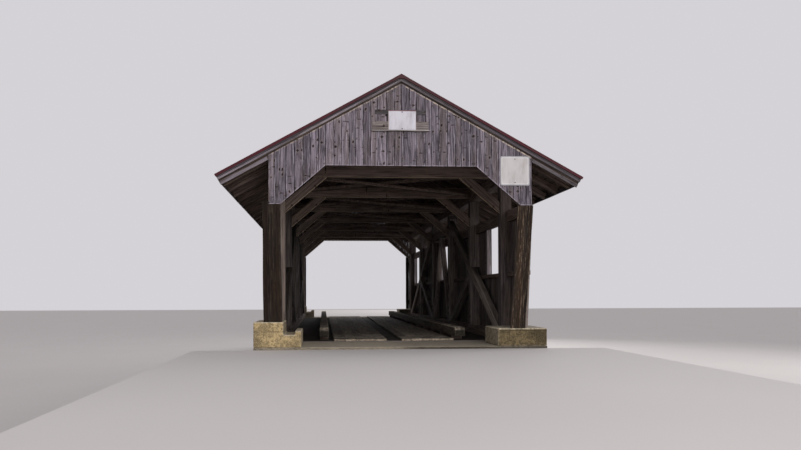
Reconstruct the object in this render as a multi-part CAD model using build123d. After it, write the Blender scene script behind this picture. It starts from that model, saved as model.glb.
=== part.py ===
from build123d import *
from math import atan2, cos, degrees, radians, sin, tan
import os

# Covered bridge on two queenpost trusses: one lane, a gable roof with wide eaves,
# and boarded portals that stand out past the end frames on both banks.
# +Y runs along the roadway, X across it. Heights are measured from the deck's top
# and lifted at the end, so that the abutments stand on z = 0. Sizes are in mm.

# Overall form
DECK_HEIGHT = 2700
RIDGE_Z = 5510
EAVE_X = 3750
ROOF_PITCH = 28.9
PORTAL_OVERHANG = 1650

# Frames: end post, middle post and queen post on each half
BAY = 3180
BAY_COUNT = 5
TRUSS_INNER_X = 2450
POST_WIDTH = 250
POST_LENGTH = 250
BRACE_WIDTH = 150

# Floor
DECK_THICKNESS = 75
DECK_END_GAP = 15
DECK_SIDE_GAP = 10
STRINGER_WIDTH = 120
STRINGER_DEPTH = 135
STRINGER_SIDE_GAP = 230
STRINGER_PAIRS = 3
FLOOR_BEAM_WIDTH = 200
FLOOR_BEAM_DEPTH = 300
FLOOR_BEAMS_PER_BAY = 3
CHORD_TOP_Z = 200
CHORD_OVERHANG = 340
TRACK_OUTER_X = 1360
TRACK_GAP = 340
TRACK_GAP_DRIFT = 250
TRACK_THICKNESS = 50
LEFT_CURB = (1480, 1680)
RIGHT_CURB = (1420, 1650)
CURB_HEIGHT = 200
CURB_END_SETBACK = 50
CURB_BLOCK_HEIGHT = 90
CURB_BLOCK_LENGTH = 150
CURB_BLOCK_SETBACK = 450
CURB_BLOCK_STEPS = 10
CURB_END_CHAMFER = 70
CURB_EDGE_RADIUS = 22

# Truss timbers
MAIN_BRACE_DEPTH = 220
MAIN_BRACE_HEAD_Z = 3460
COUNTER_BRACE_DEPTH = 200
CENTER_BRACE_DEPTH = 150
CENTER_APEX_HALF_WIDTH = 130
CENTER_JOINT_HALF_GAP = 0.5
HEEL = 60
SHOULDER_RISE = 60
STRAINING_BEAM_BOTTOM_Z = 3000
STRAINING_BEAM_DEPTH = 280
LEDGE_LIP = 10

# Upper framing
PLATE_BOTTOM_Z = 3600
PLATE_DEPTH = 260
TIE_BOTTOM_Z = 3700
TIE_DEPTH = 280
TIE_WIDTH = 200
KNEE_FOOT_Z = 2890
KNEE_HEAD_X = 1510
KNEE_DEPTH = 200
KNEE_WIDTH = 120
LATERAL_BOTTOM_Z = 3740
LATERAL_WIDTH = 100
LATERAL_DEPTH = 75

# Roof
RAFTER_DEPTH = 160
RAFTER_WIDTH = 75
RAFTERS_PER_BAY = 4
ROOF_BOARD_THICKNESS = 25
SHEET_THICKNESS = 2
SHEET_OVERHANG = 60
SHEET_EAVE_LAP = 10
SEAM_SPACING = 400
SEAM_WIDTH = 12
SEAM_HEIGHT = 25
RIDGE_CAP_WIDTH = 150
RIDGE_CAP_THICKNESS = 3
EAVE_BOARD_THICKNESS = 25
EAVE_BOARD_DEPTH = 150
RAKE_BOARD_THICKNESS = 30
RAKE_BOARD_TOP = 3
RAKE_BOARD_BOTTOM = 120
RAKE_FILLER_DROP = 8
RAKE_TRIM_TOP = 140
RAKE_TRIM_BOTTOM = 220
RIDGE_JOINT_HALF_GAP = 1

# Boarding, girts and windows
BOARD_THICKNESS = 25
BOARD_JOINT = 4
SIDING_BOTTOM_Z = -450
SIDING_END_GAP = 10
SILL_Z = 1550
HEAD_Z = 2700
SILL_GIRT_DEPTH = 100
TOP_GIRT_DEPTH = 250
WINDOW_WIDTH = 1440
END_WINDOW_FROM_POST = 350
JAMB_WIDTH = 60

# Portals
GABLE_OPENING_Z = 3670
GABLE_OPENING_X = 1550
GABLE_CHEEK_X = 2460
GABLE_CHEEK_Z = 2880
GABLE_TOP_GAP = 12
PORTAL_FRAME_SIZE = 100
PORTAL_BEAM_DEPTH = 150
PORTAL_NAILER_SETBACK = 15
NEAR_LEFT_PANEL = dict(top=(2460, 2825), foot=(2420, 2800))
NEAR_RIGHT_PANEL = dict(top=(2400, 2700), foot=(2235, 2540))
FAR_PANEL = dict(top=(2430, 2740), foot=(2430, 2740))
PANEL_BOARD_JOINT = 4
NEAR_RIGHT_STUD_LEAN = 100
NEAR_RIGHT_SIDING_LEAN = 395

# Concrete abutments and the blocks on their corners
ABUTMENT_HALF_WIDTH = 3000
SEAT_REACH = 450
ABUTMENT_BATTER = 150
SILL_STEP = 15
BACKWALL_GAP = 40
TONGUE_HALF_WIDTH = 2400
BLOCK_LENGTH = 1150
LEFT_BLOCK_X = 2040
LEFT_UPSTAND_WIDTH = 130
LEFT_UPSTAND_Z = 320
LEFT_LEDGE_Z = 240
LEFT_SEAT_X = 2400
LEFT_SEAT_Z = 500
RIGHT_BLOCK_X = 1980
RIGHT_SEAT_Z = 350
BLOCK_EDGE_RADIUS = 25

# Worked out from the sizes above
PITCH = radians(ROOF_PITCH)
POST_OUTER_X = TRUSS_INNER_X + POST_WIDTH
BRACE_OUTER_X = TRUSS_INNER_X + BRACE_WIDTH
END_FRAME_Y = BAY * BAY_COUNT / 2
MIDDLE_FRAME_Y = END_FRAME_Y - BAY
QUEEN_FRAME_Y = END_FRAME_Y - 2 * BAY
FRAME_YS = [END_FRAME_Y - BAY * i for i in range(BAY_COUNT + 1)]
PORTAL_Y = END_FRAME_Y + PORTAL_OVERHANG
PORTAL_BACK_Y = PORTAL_Y - BOARD_THICKNESS
CHORD_END_Y = END_FRAME_Y + CHORD_OVERHANG
BACKWALL_Y = CHORD_END_Y + BACKWALL_GAP
DECK_END_Y = END_FRAME_Y + POST_LENGTH / 2
CURB_END_Y = END_FRAME_Y - CURB_END_SETBACK
STRINGER_TOP_Z = -DECK_THICKNESS
STRINGER_BOTTOM_Z = STRINGER_TOP_Z - STRINGER_DEPTH
OUTER_STRINGER_X = TRUSS_INNER_X - STRINGER_SIDE_GAP - STRINGER_WIDTH / 2
STRINGER_SPACING = OUTER_STRINGER_X / STRINGER_PAIRS
SEAT_Z = STRINGER_BOTTOM_Z - FLOOR_BEAM_DEPTH
PLATE_TOP_Z = PLATE_BOTTOM_Z + PLATE_DEPTH
GIRT_TOP_Z = HEAD_Z + TOP_GIRT_DEPTH
LEDGE_FOOT_Z = STRAINING_BEAM_BOTTOM_Z - LEDGE_LIP
LEDGE_REACH = LEDGE_FOOT_Z - GIRT_TOP_Z
RAFTER_TOP = SHEET_THICKNESS + ROOF_BOARD_THICKNESS
RAFTER_BOTTOM = RAFTER_TOP + RAFTER_DEPTH
RAFTER_SPACING = BAY / RAFTERS_PER_BAY
SLOPE_LENGTH = EAVE_X / cos(PITCH)
RAFTER_TAIL = SLOPE_LENGTH - EAVE_BOARD_THICKNESS
SIDING_OUTER_X = POST_OUTER_X + BOARD_THICKNESS
SIDING_END_Y = BACKWALL_Y - SIDING_END_GAP
SEAT_ZS = {-1: LEFT_SEAT_Z, 1: RIGHT_SEAT_Z}
SIDES = {"left": -1, "right": 1}
CURBS = {-1: LEFT_CURB, 1: RIGHT_CURB}
NEAR_END_LEANS = {-1: 0, 1: NEAR_RIGHT_SIDING_LEAN}
END_WINDOW_Y = END_FRAME_Y - END_WINDOW_FROM_POST - WINDOW_WIDTH / 2
WINDOW_YS = [-END_WINDOW_Y, 0, END_WINDOW_Y]


def block(x0, x1, y0, y1, z0, z1):
    """A box between two corners, given in any order."""
    size = [abs(x1 - x0), abs(y1 - y0), abs(z1 - z0)]
    return Pos((x0 + x1) / 2, (y0 + y1) / 2, (z0 + z1) / 2) * Box(*size)


def along_x(points, x0, x1):
    """A timber drawn in (y, z) and as thick as from x0 to x1."""
    outline = Plane.YZ.offset(x0) * Polygon(*points, align=None)
    return extrude(outline, x1 - x0, dir=(1, 0, 0))


def along_y(points, y0, y1):
    """A timber drawn in (x, z) and as thick as from y0 to y1."""
    outline = Plane.XZ.offset(-y0) * Polygon(*points, align=None)
    return extrude(outline, y1 - y0, dir=(0, 1, 0))


def on_roof(s0, s1, depth0, depth1, y0, y1, side=1):
    """A slab on one roof slope, s down the slope and depth below the sheet's top."""
    slope = Plane(origin=(0, 0, RIDGE_Z), x_dir=(cos(PITCH), 0, -sin(PITCH)),
                  z_dir=(sin(PITCH), 0, cos(PITCH)))
    slab = slope * block(s0, s1, y0, y1, -depth1, -depth0)
    reach = abs(depth0) + abs(depth1) + SLOPE_LENGTH
    behind_ridge = block(-reach, 0, y0 - reach, y1 + reach, 0, 2 * RIDGE_Z)
    return to_side(slab - behind_ridge, side)


def roof_z(x, depth):
    """Height of a plane that lies a depth below the sheet's top."""
    return RIDGE_Z - x * tan(PITCH) - depth / cos(PITCH)


def roof_point(s, depth):
    """The (x, z) of a point s down the slope and a depth below its top."""
    return (s * cos(PITCH) - depth * sin(PITCH), RIDGE_Z - s * sin(PITCH) - depth * cos(PITCH))


def to_side(shape, side):
    """The shape as it is on the right, or mirrored to the left."""
    return shape if side > 0 else mirror(shape, Plane.YZ)


def both_ends(shape):
    """A shape on the near half and its mirror image on the far half."""
    return [shape, mirror(shape, Plane.XZ)]


def both_sides(shape):
    """A shape on the right and its mirror image on the left."""
    return [shape, mirror(shape, Plane.YZ)]


def save(name, shapes):
    """Write one sub-part, lifted so that the abutments stand on z = 0."""
    solids = [solid for shape in shapes for solid in shape.solids()]
    lifted = [Pos(0, 0, DECK_HEIGHT) * solid for solid in solids]
    export_step(Compound(children=lifted) if len(lifted) > 1 else lifted[0], f"parts/{name}.step")


# Abutments

def abutment():
    """Mass concrete with a bridge seat, a backwall and a tongue up to the deck."""
    top = -SILL_STEP
    base = -DECK_HEIGHT
    face_y = -END_FRAME_Y + SEAT_REACH
    profile = [(-PORTAL_Y, base), (-PORTAL_Y, top), (-BACKWALL_Y, top), (-BACKWALL_Y, SEAT_Z),
               (face_y, SEAT_Z), (face_y + ABUTMENT_BATTER, base)]
    wall = along_x(profile, -ABUTMENT_HALF_WIDTH, ABUTMENT_HALF_WIDTH)
    tongue_end = -DECK_END_Y - DECK_END_GAP
    tongue = block(-TONGUE_HALF_WIDTH, TONGUE_HALF_WIDTH, -BACKWALL_Y, tongue_end, SEAT_Z, top)
    return wall + tongue


def corner_block(side):
    """A block on the abutment's corner; the left one has an upstand, a ledge and a raised seat."""
    seat_z = SEAT_ZS[side]
    end = [(ABUTMENT_HALF_WIDTH, seat_z), (ABUTMENT_HALF_WIDTH, -SILL_STEP)]
    if side < 0:
        upstand_x = LEFT_BLOCK_X + LEFT_UPSTAND_WIDTH
        outline = [(LEFT_BLOCK_X, -SILL_STEP), (LEFT_BLOCK_X, LEFT_UPSTAND_Z), (upstand_x, LEFT_UPSTAND_Z),
                   (upstand_x, LEFT_LEDGE_Z), (LEFT_SEAT_X, LEFT_LEDGE_Z), (LEFT_SEAT_X, seat_z), *end]
    else:
        outline = [(RIGHT_BLOCK_X, -SILL_STEP), (RIGHT_BLOCK_X, seat_z), *end]
    shape = along_y(outline, -PORTAL_Y, -PORTAL_Y + BLOCK_LENGTH)
    inner_face = shape.faces().filter_by(Axis.X).sort_by(Axis.X)[0]
    shape = fillet(inner_face.edges().filter_by(Axis.Y).sort_by(Axis.Z)[-1], BLOCK_EDGE_RADIUS)
    return to_side(shape, side)


# Floor

def bottom_chord(side):
    """The chord that the posts and braces stand on."""
    chord = block(TRUSS_INNER_X, POST_OUTER_X, -CHORD_END_Y, CHORD_END_Y, STRINGER_BOTTOM_Z, CHORD_TOP_Z)
    return to_side(chord, side)


def floor_beams():
    """Cross beams under both chords; the outer two bear on the bridge seats."""
    spacing = BAY / FLOOR_BEAMS_PER_BAY
    count = FLOOR_BEAMS_PER_BAY * (len(FRAME_YS) - 1) + 1
    half = FLOOR_BEAM_WIDTH / 2
    ys = [-END_FRAME_Y + spacing * i for i in range(count)]
    return [block(-POST_OUTER_X, POST_OUTER_X, y - half, y + half, SEAT_Z, STRINGER_BOTTOM_Z) for y in ys]


def stringers():
    """Lengthwise beams between the cross beams and the planks."""
    half = STRINGER_WIDTH / 2
    xs = [STRINGER_SPACING * i for i in range(-STRINGER_PAIRS, STRINGER_PAIRS + 1)]
    return [block(x - half, x + half, -DECK_END_Y, DECK_END_Y, STRINGER_BOTTOM_Z, STRINGER_TOP_Z)
            for x in xs]


def deck():
    """The planks of the deck as one layer between the chords."""
    half = TRUSS_INNER_X - DECK_SIDE_GAP
    return block(-half, half, -DECK_END_Y, DECK_END_Y, -DECK_THICKNESS, 0)


def wheel_track(side):
    """The running planks under one line of wheels; the gap between the two drifts to the right."""
    length = DECK_END_Y - DECK_END_GAP
    near, far = side * TRACK_GAP / 2, side * TRACK_GAP / 2 + TRACK_GAP_DRIFT
    outer = side * TRACK_OUTER_X
    outline = [(near, -length), (outer, -length), (outer, length), (far, length)]
    return extrude(Polygon(*outline, align=None), TRACK_THICKNESS, dir=(0, 0, 1))


def curb(side):
    """A squared curb timber, worn round along its top and cut back at its ends."""
    inner, outer = CURBS[side]
    bottom = CURB_BLOCK_HEIGHT
    timber = block(inner, outer, -CURB_END_Y, CURB_END_Y, bottom, bottom + CURB_HEIGHT)
    timber = chamfer(timber.edges().filter_by(Axis.X).group_by(Axis.Z)[-1], CURB_END_CHAMFER)
    timber = fillet(timber.edges().filter_by(Axis.Y).group_by(Axis.Z)[-1], CURB_EDGE_RADIUS)
    return to_side(timber, side)


def curb_blocks(side):
    """The blocks that hold one curb off the deck."""
    half = CURB_BLOCK_LENGTH / 2
    first = -CURB_END_Y + CURB_BLOCK_SETBACK
    spacing = -2 * first / CURB_BLOCK_STEPS
    ys = [first + spacing * i for i in range(CURB_BLOCK_STEPS + 1)]
    return [to_side(block(*CURBS[side], y - half, y + half, 0, CURB_BLOCK_HEIGHT), side) for y in ys]


# Truss lines, in (y, z) on the near half

HEEL_Y = -END_FRAME_Y + POST_LENGTH / 2
QUEEN_FACE_Y = -QUEEN_FRAME_Y - POST_LENGTH / 2
QUEEN_BACK_Y = -QUEEN_FRAME_Y + POST_LENGTH / 2
MIDDLE_FACE_Y = -MIDDLE_FRAME_Y - POST_LENGTH / 2
MIDDLE_BACK_Y = -MIDDLE_FRAME_Y + POST_LENGTH / 2
HEEL_Z = CHORD_TOP_Z + HEEL
BRACE_ANGLE = atan2(MAIN_BRACE_HEAD_Z - HEEL_Z, QUEEN_FACE_Y - HEEL_Y)


def brace_top(y):
    """Height of the main brace's upper edge."""
    return HEEL_Z + (y - HEEL_Y) * tan(BRACE_ANGLE)


def brace_bottom(y):
    """Height of the main brace's lower edge."""
    return brace_top(y) - MAIN_BRACE_DEPTH / cos(BRACE_ANGLE)


def brace_head():
    """The two ends of the main brace's square-cut head, lower and upper."""
    lower = (QUEEN_FACE_Y, brace_bottom(QUEEN_FACE_Y))
    upper = (lower[0] - MAIN_BRACE_DEPTH * sin(BRACE_ANGLE), lower[1] + MAIN_BRACE_DEPTH * cos(BRACE_ANGLE))
    return lower, upper


def main_brace():
    """The brace from the end post's foot to the queen post's shoulder."""
    lower, upper = brace_head()
    toe_y = HEEL_Y + (CHORD_TOP_Z - brace_bottom(HEEL_Y)) / tan(BRACE_ANGLE)
    outline = [(HEEL_Y, CHORD_TOP_Z), (HEEL_Y, HEEL_Z), upper, lower, (toe_y, CHORD_TOP_Z)]
    return along_x(outline, TRUSS_INNER_X, BRACE_OUTER_X)


def end_post():
    """The plain post over the abutment."""
    half = POST_LENGTH / 2
    return block(TRUSS_INNER_X, POST_OUTER_X, -END_FRAME_Y - half, -END_FRAME_Y + half,
                 CHORD_TOP_Z, PLATE_BOTTOM_Z)


def middle_post():
    """The post that the main brace passes through: a piece under it and one over it."""
    under = [(MIDDLE_FACE_Y, CHORD_TOP_Z), (MIDDLE_FACE_Y, brace_bottom(MIDDLE_FACE_Y)),
             (MIDDLE_BACK_Y, brace_bottom(MIDDLE_BACK_Y)), (MIDDLE_BACK_Y, CHORD_TOP_Z)]
    over = [(MIDDLE_FACE_Y, brace_top(MIDDLE_FACE_Y)), (MIDDLE_FACE_Y, PLATE_BOTTOM_Z),
            (MIDDLE_BACK_Y, PLATE_BOTTOM_Z), (MIDDLE_BACK_Y, brace_top(MIDDLE_BACK_Y))]
    return [along_x(under, TRUSS_INNER_X, POST_OUTER_X), along_x(over, TRUSS_INNER_X, POST_OUTER_X)]


def queen_post():
    """The post with a shoulder cut square to the main brace, and a ledge under the straining beam."""
    lower, upper = brace_head()
    shoulder_top = upper[1] + SHOULDER_RISE
    taper_top = shoulder_top + QUEEN_FACE_Y - upper[0]
    ledge_y = QUEEN_BACK_Y + LEDGE_REACH
    outline = [(QUEEN_FACE_Y, CHORD_TOP_Z), lower, upper, (upper[0], shoulder_top),
               (QUEEN_FACE_Y, taper_top), (QUEEN_FACE_Y, PLATE_BOTTOM_Z),
               (QUEEN_BACK_Y, PLATE_BOTTOM_Z), (QUEEN_BACK_Y, STRAINING_BEAM_BOTTOM_Z),
               (ledge_y, STRAINING_BEAM_BOTTOM_Z), (ledge_y, LEDGE_FOOT_Z),
               (QUEEN_BACK_Y, GIRT_TOP_Z), (QUEEN_BACK_Y, CHORD_TOP_Z)]
    return along_x(outline, TRUSS_INNER_X, POST_OUTER_X)


def counter_brace():
    """The strut from the queen post's foot back up under the main brace."""
    head_z = brace_bottom(MIDDLE_BACK_Y)
    angle = atan2(head_z - HEEL_Z, QUEEN_FACE_Y - MIDDLE_BACK_Y)
    drop = COUNTER_BRACE_DEPTH / cos(angle)
    toe_y = QUEEN_FACE_Y - (CHORD_TOP_Z - HEEL_Z + drop) / tan(angle)
    outline = [(QUEEN_FACE_Y, CHORD_TOP_Z), (QUEEN_FACE_Y, HEEL_Z), (MIDDLE_BACK_Y, head_z),
               (MIDDLE_BACK_Y, head_z - drop), (toe_y, CHORD_TOP_Z)]
    return along_x(outline, TRUSS_INNER_X, BRACE_OUTER_X)


def center_brace():
    """The strut from the queen post's inner foot to the middle of the straining beam."""
    beam_z = STRAINING_BEAM_BOTTOM_Z
    angle = atan2(beam_z - HEEL_Z, -CENTER_APEX_HALF_WIDTH - QUEEN_BACK_Y)
    across = CENTER_BRACE_DEPTH / sin(angle)
    meeting_z = beam_z - (across - CENTER_APEX_HALF_WIDTH + CENTER_JOINT_HALF_GAP) * tan(angle)
    toe_y = QUEEN_BACK_Y + across - HEEL / tan(angle)
    outline = [(QUEEN_BACK_Y, CHORD_TOP_Z), (QUEEN_BACK_Y, HEEL_Z), (-CENTER_APEX_HALF_WIDTH, beam_z),
               (-CENTER_JOINT_HALF_GAP, beam_z), (-CENTER_JOINT_HALF_GAP, meeting_z), (toe_y, CHORD_TOP_Z)]
    return along_x(outline, TRUSS_INNER_X, BRACE_OUTER_X)


def straining_beam():
    """The beam between the two queen posts' heads."""
    top = STRAINING_BEAM_BOTTOM_Z + STRAINING_BEAM_DEPTH
    return block(TRUSS_INNER_X, BRACE_OUTER_X, QUEEN_BACK_Y, -QUEEN_BACK_Y, STRAINING_BEAM_BOTTOM_Z, top)


# Upper framing

def wall_plate():
    """The plate on top of the posts, out to the portal boards."""
    return block(TRUSS_INNER_X, POST_OUTER_X, -PORTAL_BACK_Y, PORTAL_BACK_Y, PLATE_BOTTOM_Z, PLATE_TOP_Z)


def tie_beam(y):
    """A tie across the bridge, cogged down between the plates."""
    top = TIE_BOTTOM_Z + TIE_DEPTH
    inner, outer = TRUSS_INNER_X, POST_OUTER_X
    outline = [(-inner, TIE_BOTTOM_Z), (inner, TIE_BOTTOM_Z), (inner, PLATE_TOP_Z), (outer, PLATE_TOP_Z),
               (outer, top), (-outer, top), (-outer, PLATE_TOP_Z), (-inner, PLATE_TOP_Z)]
    return along_y(outline, y - TIE_WIDTH / 2, y + TIE_WIDTH / 2)


def knee_brace(y):
    """A knee brace between a post and the tie above it."""
    rise = TIE_BOTTOM_Z - KNEE_FOOT_Z
    angle = atan2(rise, TRUSS_INNER_X - KNEE_HEAD_X)
    outline = [(KNEE_HEAD_X, TIE_BOTTOM_Z), (KNEE_HEAD_X + KNEE_DEPTH / sin(angle), TIE_BOTTOM_Z),
               (TRUSS_INNER_X, KNEE_FOOT_Z + KNEE_DEPTH / cos(angle)), (TRUSS_INNER_X, KNEE_FOOT_Z)]
    return along_y(outline, y - KNEE_WIDTH / 2, y + KNEE_WIDTH / 2)


def lateral_braces(bottom_z, slant):
    """One diagonal in each bay, from tie to tie between the plates."""
    clear = BAY - TIE_WIDTH
    angle = slant * atan2(clear, 2 * TRUSS_INNER_X)
    bar = Rot(0, 0, degrees(angle)) * Box(4 * TRUSS_INNER_X, LATERAL_WIDTH, LATERAL_DEPTH)
    trimmed = bar & Box(2 * TRUSS_INNER_X, clear, LATERAL_DEPTH)
    middle_z = bottom_z + LATERAL_DEPTH / 2
    return [Pos(0, y - BAY / 2, middle_z) * trimmed for y in FRAME_YS[:-1]]


# Roof

def rafter(y):
    """A rafter, plumb at the ridge, seated on the plate and square at its tail."""
    seat_x = (roof_z(0, RAFTER_BOTTOM) - PLATE_TOP_Z) / tan(PITCH)
    outline = [(0, roof_z(0, RAFTER_TOP)), roof_point(RAFTER_TAIL, RAFTER_TOP),
               roof_point(RAFTER_TAIL, RAFTER_BOTTOM), (POST_OUTER_X, roof_z(POST_OUTER_X, RAFTER_BOTTOM)),
               (POST_OUTER_X, PLATE_TOP_Z), (seat_x, PLATE_TOP_Z), (0, roof_z(0, RAFTER_BOTTOM))]
    return along_y(outline, y - RAFTER_WIDTH / 2, y + RAFTER_WIDTH / 2)


def rafters(side):
    """All the rafters of one slope, clear of the ties."""
    count = int(PORTAL_Y / RAFTER_SPACING)
    ys = [RAFTER_SPACING * (i + 0.5) for i in range(count)] + [PORTAL_BACK_Y - RAFTER_WIDTH / 2]
    return [to_side(rafter(y * end), side) for y in ys for end in (-1, 1)]


def roof_boards(side):
    """The boards on the rafters of one slope, as one layer."""
    return on_roof(0, SLOPE_LENGTH, SHEET_THICKNESS, RAFTER_TOP, -PORTAL_Y, PORTAL_Y, side)


def roof_sheet(side):
    """The seamed metal sheet of one slope."""
    end = PORTAL_Y + SHEET_OVERHANG
    foot = SLOPE_LENGTH + SHEET_EAVE_LAP
    sheet = on_roof(0, foot, 0, SHEET_THICKNESS, -end, end)
    seam_count = int(2 * end / SEAM_SPACING)
    first = -SEAM_SPACING * seam_count / 2
    half = SEAM_WIDTH / 2
    ys = [first + SEAM_SPACING * i for i in range(seam_count + 1)]
    seams = [on_roof(0, foot, -SEAM_HEIGHT, SHEET_THICKNESS / 2, y - half, y + half) for y in ys]
    return to_side(sheet + seams, side)


def ridge_cap():
    """The folded metal cap on the seams along the ridge."""
    under, top = -SEAM_HEIGHT, -SEAM_HEIGHT - RIDGE_CAP_THICKNESS
    right = [roof_point(RIDGE_CAP_WIDTH, under), roof_point(RIDGE_CAP_WIDTH, top)]
    left = [(-x, z) for x, z in reversed(right)]
    outline = [(0, roof_z(0, under)), *right, (0, roof_z(0, top)), *left]
    end = PORTAL_Y + SHEET_OVERHANG
    return along_y(outline, -end, end)


def eave_board():
    """The board across the rafters' tails."""
    depth = RAFTER_TOP + EAVE_BOARD_DEPTH
    return on_roof(RAFTER_TAIL, SLOPE_LENGTH, RAFTER_TOP, depth, -PORTAL_BACK_Y, PORTAL_BACK_Y)


def rake_boards():
    """The board under the sheet's edge, the filler behind it and the trim past the gable."""
    face, back = -PORTAL_Y, -PORTAL_BACK_Y
    trim_start = POST_OUTER_X / cos(PITCH) + RAKE_TRIM_BOTTOM * tan(PITCH)
    board = on_roof(0, SLOPE_LENGTH, RAKE_BOARD_TOP, RAKE_BOARD_BOTTOM, face - RAKE_BOARD_THICKNESS, face)
    filler = on_roof(0, SLOPE_LENGTH, RAFTER_TOP, RAKE_BOARD_BOTTOM + RAKE_FILLER_DROP, face, back)
    trim = on_roof(trim_start, SLOPE_LENGTH, RAKE_TRIM_TOP, RAKE_TRIM_BOTTOM, face, back)
    joint = block(-RIDGE_JOINT_HALF_GAP, RIDGE_JOINT_HALF_GAP, 2 * face, 0, 0, RIDGE_Z)
    return [piece for part in (board, filler, trim) for piece in both_sides(part - joint)]


# Portals and boarding

def gable():
    """The gable's boards as one layer, cut out over the roadway."""
    edge_x = POST_OUTER_X
    depth = RAKE_BOARD_BOTTOM + GABLE_TOP_GAP
    right = [(GABLE_OPENING_X, GABLE_OPENING_Z), (GABLE_CHEEK_X, GABLE_CHEEK_Z), (edge_x, GABLE_CHEEK_Z),
             (edge_x, roof_z(edge_x, depth))]
    left = [(-x, z) for x, z in reversed(right)]
    return along_y([*right, (0, roof_z(0, depth)), *left], -PORTAL_Y, -PORTAL_BACK_Y)


def side_stud(side, lean, bend_z):
    """The stud at a portal's side, which may lean in below a height."""
    top_x, foot_x = POST_OUTER_X, POST_OUTER_X - lean
    outline = [(foot_x - PORTAL_FRAME_SIZE, SEAT_ZS[side]), (foot_x, SEAT_ZS[side]), (top_x, bend_z),
               (top_x, PLATE_BOTTOM_Z), (top_x - PORTAL_FRAME_SIZE, PLATE_BOTTOM_Z),
               (top_x - PORTAL_FRAME_SIZE, bend_z)]
    return to_side(along_y(outline, -PORTAL_BACK_Y, -PORTAL_BACK_Y + PORTAL_FRAME_SIZE), side)


def portal_frame(right_lean):
    """The beam, slanting nailers and side studs that carry a portal's boards."""
    y0, y1 = -PORTAL_BACK_Y, -PORTAL_BACK_Y + PORTAL_FRAME_SIZE
    beam_z = PLATE_BOTTOM_Z + PORTAL_FRAME_SIZE
    beam = block(-TRUSS_INNER_X, TRUSS_INNER_X, y0, y1, beam_z, beam_z + PORTAL_BEAM_DEPTH)
    run = GABLE_CHEEK_X - GABLE_OPENING_X
    rise = GABLE_OPENING_Z - GABLE_CHEEK_Z
    angle = atan2(rise, run)

    def nailer_z(x, offset):
        """Height of a line beside the opening's slanting edge."""
        return GABLE_OPENING_Z - (x - GABLE_OPENING_X) * tan(angle) + offset / cos(angle)

    def nailer_x(z, offset):
        """Where that line reaches a height."""
        return GABLE_OPENING_X + (GABLE_OPENING_Z - z + offset / cos(angle)) / tan(angle)

    near_edge, far_edge = PORTAL_NAILER_SETBACK, PORTAL_NAILER_SETBACK + PORTAL_FRAME_SIZE
    stud_x = POST_OUTER_X - PORTAL_FRAME_SIZE
    outline = [(nailer_x(beam_z, near_edge), beam_z), (nailer_x(beam_z, far_edge), beam_z),
               (stud_x, nailer_z(stud_x, far_edge)), (stud_x, nailer_z(stud_x, near_edge))]
    nailers = both_sides(along_y(outline, y0, y1))
    bend_z = nailer_z(stud_x, near_edge)
    return [beam, *nailers, side_stud(-1, 0, bend_z), side_stud(1, right_lean, bend_z)]


def end_panel(shape, side):
    """Two boards that close the portal's side towards the road, from the seat to the cheek."""
    top_z, foot_z = GABLE_CHEEK_Z - BOARD_JOINT, SEAT_ZS[side]
    half = PANEL_BOARD_JOINT / 2
    top_middle = sum(shape["top"]) / 2
    foot_middle = sum(shape["foot"]) / 2
    inner = [(shape["foot"][0], foot_z), (foot_middle - half, foot_z), (top_middle - half, top_z),
             (shape["top"][0], top_z)]
    outer = [(foot_middle + half, foot_z), (shape["foot"][1], foot_z), (shape["top"][1], top_z),
             (top_middle + half, top_z)]
    return [to_side(along_y(points, -PORTAL_Y, -PORTAL_BACK_Y), side) for points in (inner, outer)]


def girts(side):
    """Rails between the posts that the side boards are nailed to."""
    half = POST_LENGTH / 2
    stud_y = PORTAL_BACK_Y - PORTAL_FRAME_SIZE
    bays = [(y - BAY + half, y - half) for y in FRAME_YS[:-1]]
    ends = [(-stud_y, -END_FRAME_Y - half), (END_FRAME_Y + half, stud_y)]
    rails = [(SILL_Z - SILL_GIRT_DEPTH, SILL_Z), (HEAD_Z, GIRT_TOP_Z)]
    return [to_side(block(BRACE_OUTER_X, POST_OUTER_X, y0, y1, z0, z1), side)
            for y0, y1 in bays + ends for z0, z1 in rails]


def window_jambs():
    """The upright frames at both edges of each window."""
    half = WINDOW_WIDTH / 2
    jambs = []
    for y in WINDOW_YS:
        for edge in (-1, 1):
            y0, y1 = y + edge * half, y + edge * (half + JAMB_WIDTH)
            jambs += both_sides(block(BRACE_OUTER_X, POST_OUTER_X, y0, y1, SILL_Z, HEAD_Z))
    return jambs


def siding_sheet(side, y0, y1, z0, z1, lean=0):
    """Boards on one side; a lean slants their near end back, from the gable's cheek down to the seat."""
    def end_y(z):
        """Where the near end is at a height."""
        share = (GABLE_CHEEK_Z - z) / (GABLE_CHEEK_Z - SEAT_ZS[side])
        return y0 + lean * max(share, 0)

    heights = sorted({z0, z1} | ({GABLE_CHEEK_Z} if lean and z0 < GABLE_CHEEK_Z < z1 else set()))
    outline = [(end_y(z), z) for z in heights] + [(y1, z1), (y1, z0)]
    return to_side(along_x(outline, POST_OUTER_X, SIDING_OUTER_X), side)


def siding_lower(side):
    """Boards below the windows, stopped above the abutments' corners."""
    top, foot = SILL_Z - BOARD_JOINT / 2, SEAT_ZS[side]
    end, joint = PORTAL_BACK_Y, SIDING_END_Y + BOARD_JOINT
    return [siding_sheet(side, -SIDING_END_Y, SIDING_END_Y, SIDING_BOTTOM_Z, top),
            siding_sheet(side, -end, -joint, foot, top, NEAR_END_LEANS[side]),
            siding_sheet(side, joint, end, foot, top)]


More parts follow.
